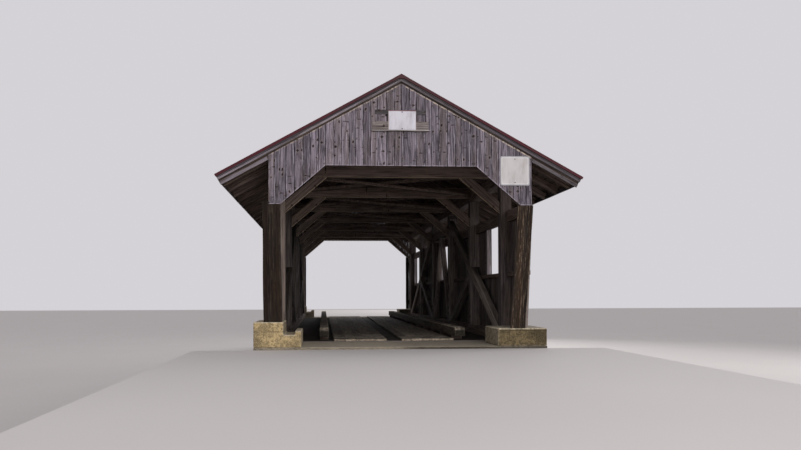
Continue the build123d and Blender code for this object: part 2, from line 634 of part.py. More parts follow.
def siding_upper(side):
    """Boards between and beside the windows, up to the open strip under the eave."""
    bottom = SILL_Z + BOARD_JOINT / 2
    edges = [-PORTAL_BACK_Y]
    for y in WINDOW_YS:
        edges += [y - WINDOW_WIDTH / 2, y + WINDOW_WIDTH / 2]
    edges.append(PORTAL_BACK_Y)
    spans = list(zip(edges[::2], edges[1::2]))
    leans = [NEAR_END_LEANS[side]] + [0] * (len(spans) - 1)
    return [siding_sheet(side, y0, y1, bottom, GIRT_TOP_Z, lean) for (y0, y1), lean in zip(spans, leans)]


# Write every sub-part

os.makedirs("parts", exist_ok=True)

near_abutment = abutment()
save("near_abutment", [near_abutment])
save("far_abutment", [mirror(near_abutment, Plane.XZ)])
near_blocks = [corner_block(side) for side in SIDES.values()]
save("near_corner_blocks", near_blocks)
save("far_corner_blocks", [mirror(piece, Plane.XZ) for piece in near_blocks])

save("floor_beams", floor_beams())
save("stringers", stringers())
save("deck", [deck()])
save("wheel_tracks", [wheel_track(side) for side in SIDES.values()])
save("curbs", [curb(side) for side in SIDES.values()])
save("curb_blocks", [piece for side in SIDES.values() for piece in curb_blocks(side)])

for side_name, side in SIDES.items():
    save(f"{side_name}_bottom_chord", [bottom_chord(side)])
    save(f"{side_name}_end_posts", both_ends(to_side(end_post(), side)))
    middle = [piece for part in middle_post() for piece in both_ends(to_side(part, side))]
    save(f"{side_name}_middle_posts", middle)
    save(f"{side_name}_queen_posts", both_ends(to_side(queen_post(), side)))
    save(f"{side_name}_main_braces", both_ends(to_side(main_brace(), side)))
    save(f"{side_name}_counter_braces", both_ends(to_side(counter_brace(), side)))
    save(f"{side_name}_center_braces", both_ends(to_side(center_brace(), side)))
    save(f"{side_name}_girts", girts(side))
    save(f"{side_name}_siding_lower", siding_lower(side))
    save(f"{side_name}_siding_upper", siding_upper(side))
    save(f"{side_name}_rafters", rafters(side))
    save(f"{side_name}_roof_boards", [roof_boards(side)])
    save(f"{side_name}_roof_sheet", [roof_sheet(side)])

save("straining_beams", both_sides(straining_beam()))
save("wall_plates", both_sides(wall_plate()))
save("tie_beams", [tie_beam(y) for y in FRAME_YS])
save("knee_braces", [piece for y in FRAME_YS for piece in both_sides(knee_brace(y))])
save("lower_lateral_braces", lateral_braces(LATERAL_BOTTOM_Z, 1))
save("upper_lateral_braces", lateral_braces(LATERAL_BOTTOM_Z + LATERAL_DEPTH, -1))
save("ridge_cap", [ridge_cap()])
save("eave_boards", both_sides(eave_board()))
save("window_jambs", window_jambs())

near_rakes = rake_boards()
save("near_rake_boards", near_rakes)
save("far_rake_boards", [mirror(piece, Plane.XZ) for piece in near_rakes])
near_gable = gable()
save("near_gable", [near_gable])
save("far_gable", [mirror(near_gable, Plane.XZ)])
save("near_portal_frame", portal_frame(NEAR_RIGHT_STUD_LEAN))
save("far_portal_frame", [mirror(piece, Plane.XZ) for piece in portal_frame(0)])
save("near_end_panels", end_panel(NEAR_LEFT_PANEL, -1) + end_panel(NEAR_RIGHT_PANEL, 1))
far_panels = end_panel(FAR_PANEL, -1) + end_panel(FAR_PANEL, 1)
save("far_end_panels", [mirror(piece, Plane.XZ) for piece in far_panels])
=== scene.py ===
"""A one-lane covered bridge, dressed in weathered wood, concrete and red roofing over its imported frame."""
import logging
import math
import random
from dataclasses import dataclass, field
from enum import Enum
from functools import cached_property
from typing import Callable, Iterator, Sequence

import bmesh
import bpy
import numpy as np
from mathutils import Euler, Matrix, Vector


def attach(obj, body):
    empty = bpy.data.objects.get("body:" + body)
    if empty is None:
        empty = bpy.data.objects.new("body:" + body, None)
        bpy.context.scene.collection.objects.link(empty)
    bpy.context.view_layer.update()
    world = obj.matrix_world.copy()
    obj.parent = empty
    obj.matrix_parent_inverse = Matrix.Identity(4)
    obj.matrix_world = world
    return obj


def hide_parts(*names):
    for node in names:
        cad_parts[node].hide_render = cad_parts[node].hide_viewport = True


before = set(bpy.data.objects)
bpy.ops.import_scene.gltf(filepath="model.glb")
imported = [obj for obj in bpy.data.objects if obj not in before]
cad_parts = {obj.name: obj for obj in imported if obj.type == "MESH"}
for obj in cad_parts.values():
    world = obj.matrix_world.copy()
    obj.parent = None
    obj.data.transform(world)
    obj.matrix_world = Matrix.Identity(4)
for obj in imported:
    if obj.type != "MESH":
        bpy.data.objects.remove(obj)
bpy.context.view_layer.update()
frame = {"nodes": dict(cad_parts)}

LOG = logging.getLogger("bridge")
Color = tuple[float, float, float]
Pair = tuple[float, float]

DECK_Z = 2.7
PITCH = math.radians(28.9)
RIDGE_Z = 8.21
EAVE_X = 3.75
SLOPE = EAVE_X / math.cos(PITCH)
PORTAL_Y = 9.6
WALL_X = 2.7
BOARD = 0.025
OPENING = ((1.55, DECK_Z + 3.67), (2.46, DECK_Z + 2.88))
SIDES = {"left": -1, "right": 1}
ENDS = {"near": -1, "far": 1}
SHARP = math.radians(35)
ALIGNED = 0.9
ON_EDGE = Matrix.Rotation(math.radians(90), 4, "X")
SIDEWAYS = Matrix.Rotation(math.radians(90), 4, "Z")
SEEDS = 10 ** 6
ANY_PHASE = 6.28
X_AXIS, Y_AXIS, Z_AXIS = Vector((1, 0, 0)), Vector((0, 1, 0)), Vector((0, 0, 1))


class Grain(Enum):
    """Which way a timber's grain runs."""

    OWN = "own"
    ALONG_X = "x"
    ALONG_Y = "y"
    ALONG_Z = "z"
    SLANT_YZ = "yz"
    SLANT_XZ = "xz"


def deselect() -> None:
    """Leave edit mode and deselect every object."""
    if bpy.context.mode != "OBJECT":
        bpy.ops.object.mode_set(mode="OBJECT")
    bpy.ops.object.select_all(action="DESELECT")


def activate(obj: bpy.types.Object) -> None:
    """Make one object the only selected and active one.

    Args:
        obj: The object.
    """
    deselect()
    obj.select_set(True)
    bpy.context.view_layer.objects.active = obj


def add_object(name: str, data: bpy.types.ID) -> bpy.types.Object:
    """Add an object with its data to the scene.

    Args:
        name: Name of the object.
        data: Its mesh, lamp or camera.

    Returns:
        The object.
    """
    obj = bpy.data.objects.new(name, data)
    bpy.context.scene.collection.objects.link(obj)
    return obj


def add_block(name: str, low: Sequence[float], high: Sequence[float]) -> bpy.types.Object:
    """Add a cube primitive at its size and place.

    Args:
        name: Name of the new object.
        low: Lowest corner in metres.
        high: Highest corner in metres.

    Returns:
        The object, with its place in its mesh.
    """
    deselect()
    low_corner, high_corner = Vector(low), Vector(high)
    bpy.ops.mesh.primitive_cube_add(size=1, location=(low_corner + high_corner) / 2)
    obj = bpy.context.active_object
    obj.name = obj.data.name = name
    obj.scale = high_corner - low_corner
    bpy.ops.object.transform_apply(location=True, rotation=True, scale=True)
    return obj


def edit_facing(obj: bpy.types.Object, toward: Vector, operator: Callable[..., object],
                kind: str = "FACE", **settings: object) -> None:
    """Run an edit-mode operator on the faces that look one way, or on the edges that run that way.

    Args:
        obj: Object to edit.
        toward: The direction, a unit vector.
        operator: The operator.
        kind: FACE or EDGE.
        settings: The operator's settings.
    """
    activate(obj)
    bpy.ops.object.mode_set(mode="EDIT")
    bpy.ops.mesh.select_mode(type=kind)
    bpy.ops.mesh.select_all(action="DESELECT")
    mesh = bmesh.from_edit_mesh(obj.data)
    if kind == "FACE":
        for face in mesh.faces:
            face.select_set(face.normal.dot(toward) > ALIGNED)
    else:
        for edge in mesh.edges:
            start, end = (vert.co for vert in edge.verts)
            edge.select_set(abs((end - start).normalized().dot(toward)) > ALIGNED)
    mesh.select_flush_mode()
    bmesh.update_edit_mesh(obj.data)
    operator(**settings)
    bpy.ops.object.mode_set(mode="OBJECT")


def edit_whole(obj: bpy.types.Object, operator: Callable[..., object], **settings: object) -> None:
    """Run an edit-mode operator on a whole object.

    Args:
        obj: Object to edit.
        operator: The operator.
        settings: The operator's settings.
    """
    activate(obj)
    bpy.ops.object.mode_set(mode="EDIT")
    bpy.ops.mesh.select_all(action="SELECT")
    operator(**settings)
    bpy.ops.object.mode_set(mode="OBJECT")


def slice_off(obj: bpy.types.Object, point: Sequence[float], normal: Sequence[float]) -> None:
    """Saw off what lies past a plane in the normal's direction, and close the cut."""
    edit_whole(obj, bpy.ops.mesh.bisect, plane_co=point, plane_no=normal, use_fill=True, clear_outer=True)


def face_outward(obj: bpy.types.Object) -> None:
    """Turn every face of closed shapes outward."""
    edit_whole(obj, bpy.ops.mesh.normals_make_consistent, inside=False)


def join(name: str, objects: Sequence[bpy.types.Object]) -> bpy.types.Object:
    """Join several objects into the first.

    Args:
        name: Name of the joined object.
        objects: Objects to join.

    Returns:
        The joined object.
    """
    activate(objects[0])
    for obj in objects:
        obj.select_set(True)
    bpy.ops.object.join()
    joined = bpy.context.active_object
    joined.name = joined.data.name = name
    deselect()
    return joined


def apply_modifiers(obj: bpy.types.Object) -> None:
    """Apply every modifier of an object in order.

    Args:
        obj: The object.
    """
    activate(obj)
    for name in [modifier.name for modifier in obj.modifiers]:
        bpy.ops.object.modifier_apply(modifier=name)


def add_bevel(obj: bpy.types.Object, width: float, segments: int = 2) -> None:
    """Ease an object's sharp edges with a bevel that stays live.

    Args:
        obj: The object.
        width: Width of the bevel.
        segments: Steps across it.
    """
    bevel = obj.modifiers.new("eased", "BEVEL")
    bevel.width, bevel.segments = width, segments
    bevel.limit_method, bevel.angle_limit = "ANGLE", SHARP


def store(mesh: bpy.types.Mesh, name: str, values: Sequence[float] | np.ndarray) -> None:
    """Keep one number for each vertex as a mesh attribute."""
    mesh.attributes.new(name, "FLOAT", "POINT").data.foreach_set("value", np.array(values, np.float32))


def roof_z(x: float) -> float:
    """Height of the roof's plane at a distance from the ridge."""
    return RIDGE_Z - x * math.tan(PITCH)


def roof_out(side: int, pitch: float = PITCH) -> Vector:
    """Direction out of the roof on one side, 1 for the right and -1 for the left."""
    return Vector((side * math.sin(pitch), 0, math.cos(pitch)))


def roof_frame(side: int) -> Matrix:
    """Frame of one roof slope: x down the slope, y along the bridge, z out of the roof.

    Args:
        side: 1 on the right and -1 on the left.

    Returns:
        Matrix from slope coordinates to the bridge's.
    """
    down = Vector((side * math.cos(PITCH), 0, -math.sin(PITCH)))
    out = roof_out(side)
    return Matrix.Translation((0, 0, RIDGE_Z)) @ Matrix((down, out.cross(down), out)).transposed().to_4x4()


class Signal:
    """A node's output that is reckoned with like a number."""

    def __init__(self, sketch: "NodeSketch", socket: bpy.types.NodeSocket) -> None:
        """Hold an output and the sketch that it is part of."""
        self.sketch, self.socket = sketch, socket

    def __add__(self, other: "Signal | float") -> "Signal":
        """Sum of two values."""
        return self.sketch.math("ADD", self, other)

    def __sub__(self, other: "Signal | float") -> "Signal":
        """Difference of two values."""
        return self.sketch.math("SUBTRACT", self, other)

    def __rsub__(self, other: float) -> "Signal":
        """A constant less this value."""
        return self.sketch.math("SUBTRACT", other, self)

    def __mul__(self, other: "Signal | float") -> "Signal":
        """Product of two values."""
        return self.sketch.math("MULTIPLY", self, other)

    def __truediv__(self, other: "Signal | float") -> "Signal":
        """Quotient of two values."""
        return self.sketch.math("DIVIDE", self, other)

    def __abs__(self) -> "Signal":
        """The value without its sign."""
        return self.sketch.math("ABSOLUTE", self)

    def span(self, low: float, high: float, start: float = 0.0, end: float = 1.0) -> "Signal":
        """The value remapped smoothly from low..high to start..end."""
        inputs = dict(enumerate((self, low, high, start, end)))
        return self.sketch.result("ShaderNodeMapRange", inputs, interpolation_type="SMOOTHSTEP")


class NodeSketch:
    """Draws a material's node tree in short steps."""

    def __init__(self, name: str) -> None:
        """Start a material with one Principled shader.

        Args:
            name: Name of the material.
        """
        self.material = bpy.data.materials.new(name)
        self.material.use_nodes = True
        self.tree = self.material.node_tree
        self.shader = self.tree.nodes["Principled BSDF"]
        self.color: object = None

    def feed(self, socket: bpy.types.NodeSocket, value: object) -> None:
        """Link a socket to a signal, or set it to a constant.

        Args:
            socket: The input socket.
            value: A signal, a number, a vector or a colour.
        """
        if isinstance(value, Signal):
            self.tree.links.new(value.socket, socket)
        else:
            socket.default_value = (*value, 1.0) if socket.type == "RGBA" and len(value) == 3 else value

    def node(self, kind: str, inputs: dict[str | int, object], **settings: object) -> bpy.types.Node:
        """Add a node.

        Args:
            kind: The node's type.
            inputs: What feeds each input, by its name or number.
            settings: The node's properties.

        Returns:
            The node.
        """
        made = self.tree.nodes.new(kind)
        for key, value in settings.items():
            setattr(made, key, value)
        for key, value in inputs.items():
            self.feed(made.inputs[key], value)
        return made

    def result(self, kind: str, inputs: dict[str | int, object], output: str | int = 0,
               **settings: object) -> Signal:
        """One output of a new node."""
        return Signal(self, self.node(kind, inputs, **settings).outputs[output])

    def math(self, operation: str, *values: object) -> Signal:
        """A Math node's result."""
        return self.result("ShaderNodeMath", dict(enumerate(values)), operation=operation)

    def vector(self, operation: str, *values: object) -> Signal:
        """A Vector Math node's vector."""
        return self.result("ShaderNodeVectorMath", dict(enumerate(values)), operation=operation)

    @cached_property
    def point(self) -> Signal:
        """Object coordinates."""
        return self.result("ShaderNodeTexCoord", {}, "Object")

    @cached_property
    def place(self) -> tuple[Signal, ...]:
        """The three object coordinates."""
        return self.axes(self.point)

    @cached_property
    def facing(self) -> tuple[Signal, ...]:
        """The three parts of the surface's direction, before any bump."""
        return self.axes(self.result("ShaderNodeTexCoord", {}, "Normal"))

    def attribute(self, name: str, output: str = "Fac") -> Signal:
        """A mesh attribute."""
        return self.result("ShaderNodeAttribute", {}, output, attribute_name=name)

    def axes(self, point: Signal) -> tuple[Signal, ...]:
        """The three coordinates of a vector."""
        made = self.node("ShaderNodeSeparateXYZ", {0: point})
        return tuple(Signal(self, output) for output in made.outputs)

    def pack(self, x: object, y: object, z: object) -> Signal:
        """A vector of three coordinates."""
        return self.result("ShaderNodeCombineXYZ", {0: x, 1: y, 2: z})

    def noise(self, point: Signal, scale: float | Color = 1.0, detail: float = 3.0,
              rough: float = 0.5, distort: float = 0.0) -> Signal:
        """A noise texture's value.

        Args:
            point: Where it is read.
            scale: Repeats per metre, one number or one for each axis.
            detail: Octaves.
            rough: Strength of the finer octaves.
            distort: How far the pattern is bent.

        Returns:
            The value, mostly between 0.3 and 0.7.
        """
        if isinstance(scale, tuple):
            point, scale = self.vector("MULTIPLY", point, scale), 1.0
        return self.result("ShaderNodeTexNoise", {"Vector": point, "Scale": scale, "Detail": detail,
                                                  "Roughness": rough, "Distortion": distort}, "Fac")

    def cells(self, point: Signal, scale: float = 1.0, flat: bool = False) -> dict[str, Signal]:
        """A cell texture's outputs, in three dimensions or flat in x and y."""
        made = self.node("ShaderNodeTexVoronoi", {"Vector": point, "Scale": scale},
                         voronoi_dimensions="2D" if flat else "3D")
        return {output.name: Signal(self, output) for output in made.outputs}

    def blend(self, factor: object, first: object, second: object, mode: str = "MIX") -> Signal:
        """Two colours mixed."""
        inputs = {0: factor, 6: first, 7: second}
        return self.result("ShaderNodeMix", inputs, 2, data_type="RGBA", blend_type=mode)

    def paint(self, amount: object, color: object) -> None:
        """Lay a colour over what is there."""
        self.color = self.blend(amount, self.color, color)

    def shade(self, value: Signal) -> None:
        """Multiply what is there by a number."""
        self.color = self.blend(1.0, self.color, self.pack(value, value, value), "MULTIPLY")

    def surface(self, rough: object, height: Signal | None = None, relief: float = 0.002,
                shine: float = 0.5) -> bpy.types.Material:
        """Feed the shader its colour, roughness and bump.

        Args:
            rough: Roughness.
            height: Bump height from 0 to 1, or None.
            relief: Depth of the bump in metres.
            shine: Specular level.

        Returns:
            The material.
        """
        self.shader.inputs["Specular IOR Level"].default_value = shine
        self.feed(self.shader.inputs["Base Color"], self.color)
        self.feed(self.shader.inputs["Roughness"], rough)
        if height is not None:
            bump = self.result("ShaderNodeBump", {"Height": height, "Strength": 1.0, "Distance": relief})
            self.feed(self.shader.inputs["Normal"], bump)
        return self.material


@dataclass(frozen=True)
class WoodFinish:
    """Bare wood that has weathered: streaks along the grain, knots, checks and stains, and painted light and
    shade by face and place where a finish asks for it.
    """

    name: str
    dark: Color
    light: Color
    grain: Grain = Grain.OWN
    slant: float = 0.0
    warm: Color = (0.16, 0.11, 0.07)
    warmth: float = 0.3
    knots: float = 0.0
    knot_color: Color = (0.012, 0.010, 0.012)
    checks: float = 0.6
    tone_spread: float = 0.5
    fleck: Color = (0.30, 0.27, 0.29)
    flecks: float = 0.0
    roughness: float = 0.82
    relief: float = 0.0025
    shine: float = 0.12
    coarse: float = 0.45
    figured: float = 0.22
    fibrous: float = 0.83
    edges: float = 0.0
    pale_end: bool = False
    pale_past_x: float = 0.0
    pale_past_y: float = 0.0
    pale: Color = (0.205, 0.172, 0.155)
    dry: Color = (0.50, 0.41, 0.34)
    left_shade: float = 1.0
    right_wear: float = 0.0
    underside: float = 1.0
    upper_face: float = 1.0
    splinters: float = 0.0
    arris: float = 0.0
    arris_color: Color | None = None
    top_shade: float = 1.0
    top_from: float = 2.7
    soot_depth: float = 0.6
    end_shade: float = 1.0
    scuffed_past_y: float = 0.0
    scuffed: Color = (0.50, 0.43, 0.34)

    def material(self) -> bpy.types.Material:
        """Build the finish's material, layer by layer.

        Returns:
            The material.
        """
        sketch = WoodSketch(self)
        if self.flecks:
            sketch.flecks()
        sketch.shade(sketch.attribute("tone") * self.tone_spread + (1 - self.tone_spread / 2))
        sketch.checks()
        if self.knots:
            sketch.knots()
        if self.edges:
            sketch.chips()
        sketch.wear_by_place()
        sketch.shade_by_place()
        if self.pale_end:
            sketch.dry_top()
            sketch.sawn_foot()
        rough = sketch.streaks.span(0.3, 0.7, self.roughness - 0.08, self.roughness + 0.08)
        return sketch.surface(rough, sketch.height, self.relief, self.shine)


class WoodSketch(NodeSketch):
    """The node tree of a wood finish, with a method for each layer."""

    def __init__(self, finish: WoodFinish) -> None:
        """Start with bare wood: streaks, figure and fibres along the grain, under broad stains.

        Args:
            finish: The finish to draw.
        """
        super().__init__(finish.name)
        self.finish = finish
        self.grain = self.grain_point()
        self.patches = self.noise(self.grain, (0.55, 3.0, 3.0), detail=2)
        self.streaks = self.noise(self.grain, (1.1, 34, 34), detail=4, distort=0.4)
        fibres = self.noise(self.grain, (5, 240, 240), detail=2)
        rings = self.noise(self.grain, (0.7, 11, 11), detail=3, distort=1.2)
        figure = self.math("PINGPONG", rings * 7.0, 1.0)
        self.height = (self.streaks * finish.coarse + figure * finish.figured
                       + fibres * (finish.fibrous - finish.coarse))
        self.color = self.blend(self.height.span(0.34, 0.72), finish.dark, finish.light)
        self.paint(self.patches.span(0.42, 0.68) * finish.warmth, finish.warm)

    def grain_point(self) -> Signal:
        """Coordinates with x along the grain, in metres.

        Returns:
            The coordinates.
        """
        grain, slant = self.finish.grain, self.finish.slant
        if grain is Grain.OWN:
            return self.attribute("grain", "Vector")
        x, y, z = self.place
        if grain is Grain.ALONG_X:
            return self.point
        if grain is Grain.ALONG_Y:
            return self.pack(y, x, z)
        if grain is Grain.ALONG_Z:
            return self.pack(z, y, x)
        run, rest = (abs(y), x) if grain is Grain.SLANT_YZ else (abs(x), y)
        cos, sin = math.cos(slant), math.sin(slant)
        return self.pack(run * cos + z * sin, z * cos - run * sin, rest)

    def flecks(self) -> None:
        """Paler flecks along the grain, broken up into splinters where the finish has them."""
        finish = self.finish
        worn = self.noise(self.grain, (2.2, 26, 26), detail=5, rough=0.65)
        share = worn.span(0.60 - finish.right_wear, 0.72 - finish.right_wear, 0, finish.flecks)
        if finish.right_wear:
            share = share * self.place[0].span(-0.5, 0.5, 0.25, 1)
        if finish.splinters:
            torn_off = self.noise(self.grain, (13, 17, 17), detail=4, rough=0.7)
            share = share * torn_off.span(0.42, 0.56, 1 - finish.splinters, 1)
        self.paint(share, finish.fleck)

    def checks(self) -> None:
        """Dark drying checks along the grain, cut into the surface."""
        gap = abs(self.noise(self.grain, (0.8, 46, 46), detail=3, rough=0.6, distort=0.3) - 0.5)
        check = gap.span(0.006, 0.022, 1, 0) * self.patches.span(0.4, 0.6)
        self.paint(check * self.finish.checks, self.finish.knot_color)
        self.height = self.height - check

    def knots(self) -> None:
        """Knots in warm rings, and on sawn boards dark specks and whiskers too."""
        finish = self.finish
        sawn = finish.grain is Grain.OWN
        wobble = self.noise(self.grain, 30, 2) * 0.045
        x, y, z = self.axes(self.grain)
        spread = self.vector("MULTIPLY", self.pack(x + wobble, y - wobble, z), (5.4, 8.2, 1.0))
        cells = self.cells(spread, flat=sawn)
        chance, torn, girth = self.axes(cells["Color"])
        keep = self.math("LESS_THAN", chance, finish.knots)
        reach = cells["Distance"] / girth.span(0.0, 1.0, 0.05, 0.22)
        spot = reach.span(0.45, 1.0, 1, 0)
        if sawn:
            along, across, _ = self.axes(self.vector("SUBTRACT", spread, cells["Position"]))
            whisker = abs(along).span(0.03, 0.08, 1, 0) * abs(across).span(0.15, 0.45, 0.85, 0)
            spot = self.math("MAXIMUM", spot, whisker * self.math("GREATER_THAN", torn, 0.45))
        knot = spot * keep
        if sawn:
            specks = self.noise(self.grain, (20, 42, 42), detail=4, rough=0.75)
            knot = self.math("MAXIMUM", knot, specks.span(0.60, 0.67) * finish.knots)
        self.paint(reach.span(0.9, 2.0, 1, 0) * keep * 0.3, finish.warm)
        self.paint(knot * 0.95, finish.knot_color)
        self.height = self.height - knot * 0.6

    def chips(self) -> None:
        """Pale chips along a board's edges, and a dark joint outside them."""
        off_middle = abs(self.attribute("across"))
        chips = self.noise(self.grain, (2.6, 9, 9), detail=3, rough=0.6)
        worn = off_middle.span(0.72, 0.84) * chips.span(0.46, 0.60)
        self.paint(worn * self.finish.edges, self.finish.fleck)
        self.paint(off_middle.span(0.915, 0.955) * 0.8, self.finish.knot_color)

    def wear_by_place(self) -> None:
        """Bleached stretches, painted shade on undersides and upper faces, rubbed arrises with a painted
        highlight, and scuffs near the portals.
        """
        finish = self.finish
        x, y, _ = self.place
        if finish.pale_past_x or finish.pale_past_y:
            reach, limit = (x, finish.pale_past_x) if finish.pale_past_x else (abs(y), finish.pale_past_y)
            self.paint(reach.span(limit - 0.01, limit + 0.01) * 0.8, finish.pale)
        # Painted shade on undersides and on upper faces.
        if finish.underside < 1 or finish.upper_face < 1:
            up = self.facing[2]
            below = up.span(-0.85, -0.45, finish.underside, 1)
            self.shade(below * up.span(0.15, 0.4, 1, finish.upper_face))
        # Paler arrises: rubbed wear and a painted highlight.
        if finish.arris:
            turned = abs(self.facing[1 if finish.grain in (Grain.ALONG_X, Grain.SLANT_XZ) else 0])
            worn = turned.span(0.1, 0.3, 0, finish.arris) * turned.span(0.75, 0.95, 1, 0)
            self.paint(worn, finish.arris_color or finish.fleck)
        if finish.scuffed_past_y:
            rubbed = self.noise(self.point, 3.0, 4, 0.7).span(0.44, 0.60)
            rubbed = rubbed * abs(y).span(finish.scuffed_past_y, 7.9, 0, 0.8)
            self.paint(rubbed * self.facing[2].span(0.4, 0.8), finish.scuffed)

    def shade_by_place(self) -> None:
        """Painted light and shade: sawn ends darker or paler, painted shade high up, and painted shade or
        light on the bridge's left half, which on the end panels is their own darker wood.
        """
        finish = self.finish
        x, _, z = self.place
        # Painted shade or highlight on faces turned along the bridge: sawn ends darker below 1, paler above
        # 1.
        if finish.end_shade != 1:
            self.shade(abs(self.facing[1]).span(0.6, 0.95, 1, finish.end_shade))
        # Painted shade high up on the timber.
        if finish.top_shade < 1:
            low = DECK_Z + finish.top_from
            self.shade(z.span(low, low + finish.soot_depth, 1, finish.top_shade))
        # Painted shade or light on the bridge's left half; on the end panels their own darker wood.
        if finish.left_shade != 1:
            self.shade(x.span(-0.5, 0.5, finish.left_shade, 1))

    def dry_top(self) -> None:
        """Painted highlight along the boards' tops right under the roof's edge."""
        x, _, z = self.place
        depth = (RIDGE_Z - z) * math.cos(PITCH) - abs(x) * math.sin(PITCH)
        broken = self.noise(self.point, 14, 4, 0.7).span(0.42, 0.60, 0.10, 0.95)
        broken = broken * x.span(-2.0, 0.6, 0.6, 1)
        # Painted highlight along the boards' tops.
        self.paint(depth.span(0.150, 0.160, 1.0, 0.0) * broken, self.finish.dry)

    def sawn_foot(self) -> None:
        """Paler wood at the sawn edge over the roadway and on its cheeks."""
        x, _, z = self.place
        (top_x, top_z), (cheek_x, cheek_z) = OPENING
        run, rise = cheek_x - top_x, top_z - cheek_z
        size = math.hypot(run, rise)
        over_top = z - top_z
        past = (abs(x) - top_x) * (rise / size) + over_top * (run / size)
        depth = self.math("MINIMUM", z - cheek_z, self.math("MAXIMUM", over_top, past))
        broken = self.noise(self.point, 12, 3, 0.7).span(0.40, 0.60, 0.25, 0.75)
        self.paint(depth.span(0.006, 0.018, 1.0, 0.0) * broken, self.finish.fleck)


@dataclass(frozen=True)
class ConcreteFinish:
    """Old cast concrete with form lines, stains running down and a coarse, pitted face, and a painted
    highlight along its rounded edges.
    """

    name: str = "cast_concrete"
    light: Color = (0.50, 0.362, 0.172)
    dark: Color = (0.132, 0.093, 0.038)
    grit: Color = (0.70, 0.58, 0.38)
    hole: Color = (0.05, 0.04, 0.03)
    form_line: Color = (0.07, 0.06, 0.045)
    washed: Color = (0.42, 0.37, 0.29)
    flanks: tuple[Color, Color] = ((0.38, 0.325, 0.235), (0.17, 0.145, 0.105))
    # Painted highlight on the rounded edges.
    rim: Color = (0.62, 0.53, 0.39)

    def material(self) -> bpy.types.Material:
        """Build the finish's material.

        Returns:
            The material.
        """
        sketch = NodeSketch(self.name)
        point = sketch.point
        x, _, z = sketch.place
        upward = sketch.facing[2]
        across, along, up = (abs(part) for part in sketch.facing)
        broad = sketch.noise(point, 1.6, 5, 0.7)
        runs = sketch.noise(point, (6, 6, 0.6), 5, 0.7)
        grit = sketch.noise(point, 55, 4, 0.75)
        mottle = sketch.noise(point, 17, 4, 0.75)
        hole = sketch.cells(point, 38)["Distance"].span(0.08, 0.16, 1, 0)
        seam = sketch.math("PINGPONG", z, 0.3).span(0.003, 0.010, 1, 0)
        sketch.color = sketch.blend(broad.span(0.38, 0.58), self.dark, self.light)
        sketch.paint(runs.span(0.52, 0.66, 0, 0.8), self.dark)
        sketch.paint(mottle.span(0.47, 0.58, 0, 0.85), self.dark)
        sketch.paint(grit.span(0.46, 0.60, 0, 0.5), self.grit)
        sketch.paint(hole * 0.6, self.hole)
        sketch.paint(seam * 0.45, self.form_line)
        sketch.shade((x + broad).span(0.2, 0.9, 1.0, 0.31))
        # Paler on upward faces.
        sketch.paint(upward.span(0.15, 0.6, 0, 0.6), self.washed)
        sketch.paint(across.span(0.6, 0.95, 0, 0.8), sketch.blend(mottle.span(0.44, 0.60), *self.flanks))
        # Painted highlight along the rounded edges, stronger on upward ones and broken up by the mottle.
        squarest = sketch.math("MAXIMUM", across, sketch.math("MAXIMUM", along, up))
        rim = squarest.span(0.94, 0.98, 0.75, 0) * mottle.span(0.40, 0.58, 1, 0.1)
        sketch.paint(rim * upward.span(0.1, 0.35, 0.25, 1), self.rim)
        return sketch.surface(0.9, (grit + broad) - (hole + seam), 0.006, 0.2)


@dataclass(frozen=True)
class RoofPaintFinish:
    """Dark red paint on sheet metal, faded in streaks down the slope, with dirt and rust spots."""

    name: str = "red_roofing"
    red: Color = (0.082, 0.010, 0.017)
    faded: Color = (0.135, 0.026, 0.034)
    dirt: Color = (0.07, 0.035, 0.030)
    rust: Color = (0.09, 0.035, 0.015)
    chalk: float = 0.0

    def material(self) -> bpy.types.Material:
        """Build the finish's material.

        Returns:
            The material.
        """
        sketch = NodeSketch(self.name)
        x, y, _ = sketch.place
        runs = sketch.noise(sketch.pack(abs(x), y, 0.0), (0.5, 16, 1), 4, 0.6)
        specks = sketch.noise(sketch.point, 24, 5, 0.7)
        sketch.color = sketch.blend(runs.span(0.35, 0.7), self.red, self.faded)
        sketch.paint(sketch.noise(sketch.point, 0.7, 3).span(0.5, 0.75, 0, 0.5), self.dirt)
        sketch.paint(specks.span(0.66, 0.74, 0, 0.7), self.rust)
        sketch.shade(sketch.attribute("tone").span(0, 1, 0.85, 1.15))
        rough = runs.span(0.3, 0.7, 0.5 + 0.45 * self.chalk, 0.7 + 0.3 * self.chalk)
        return sketch.surface(rough, specks, 0.0006, 0.25 * (1 - self.chalk))


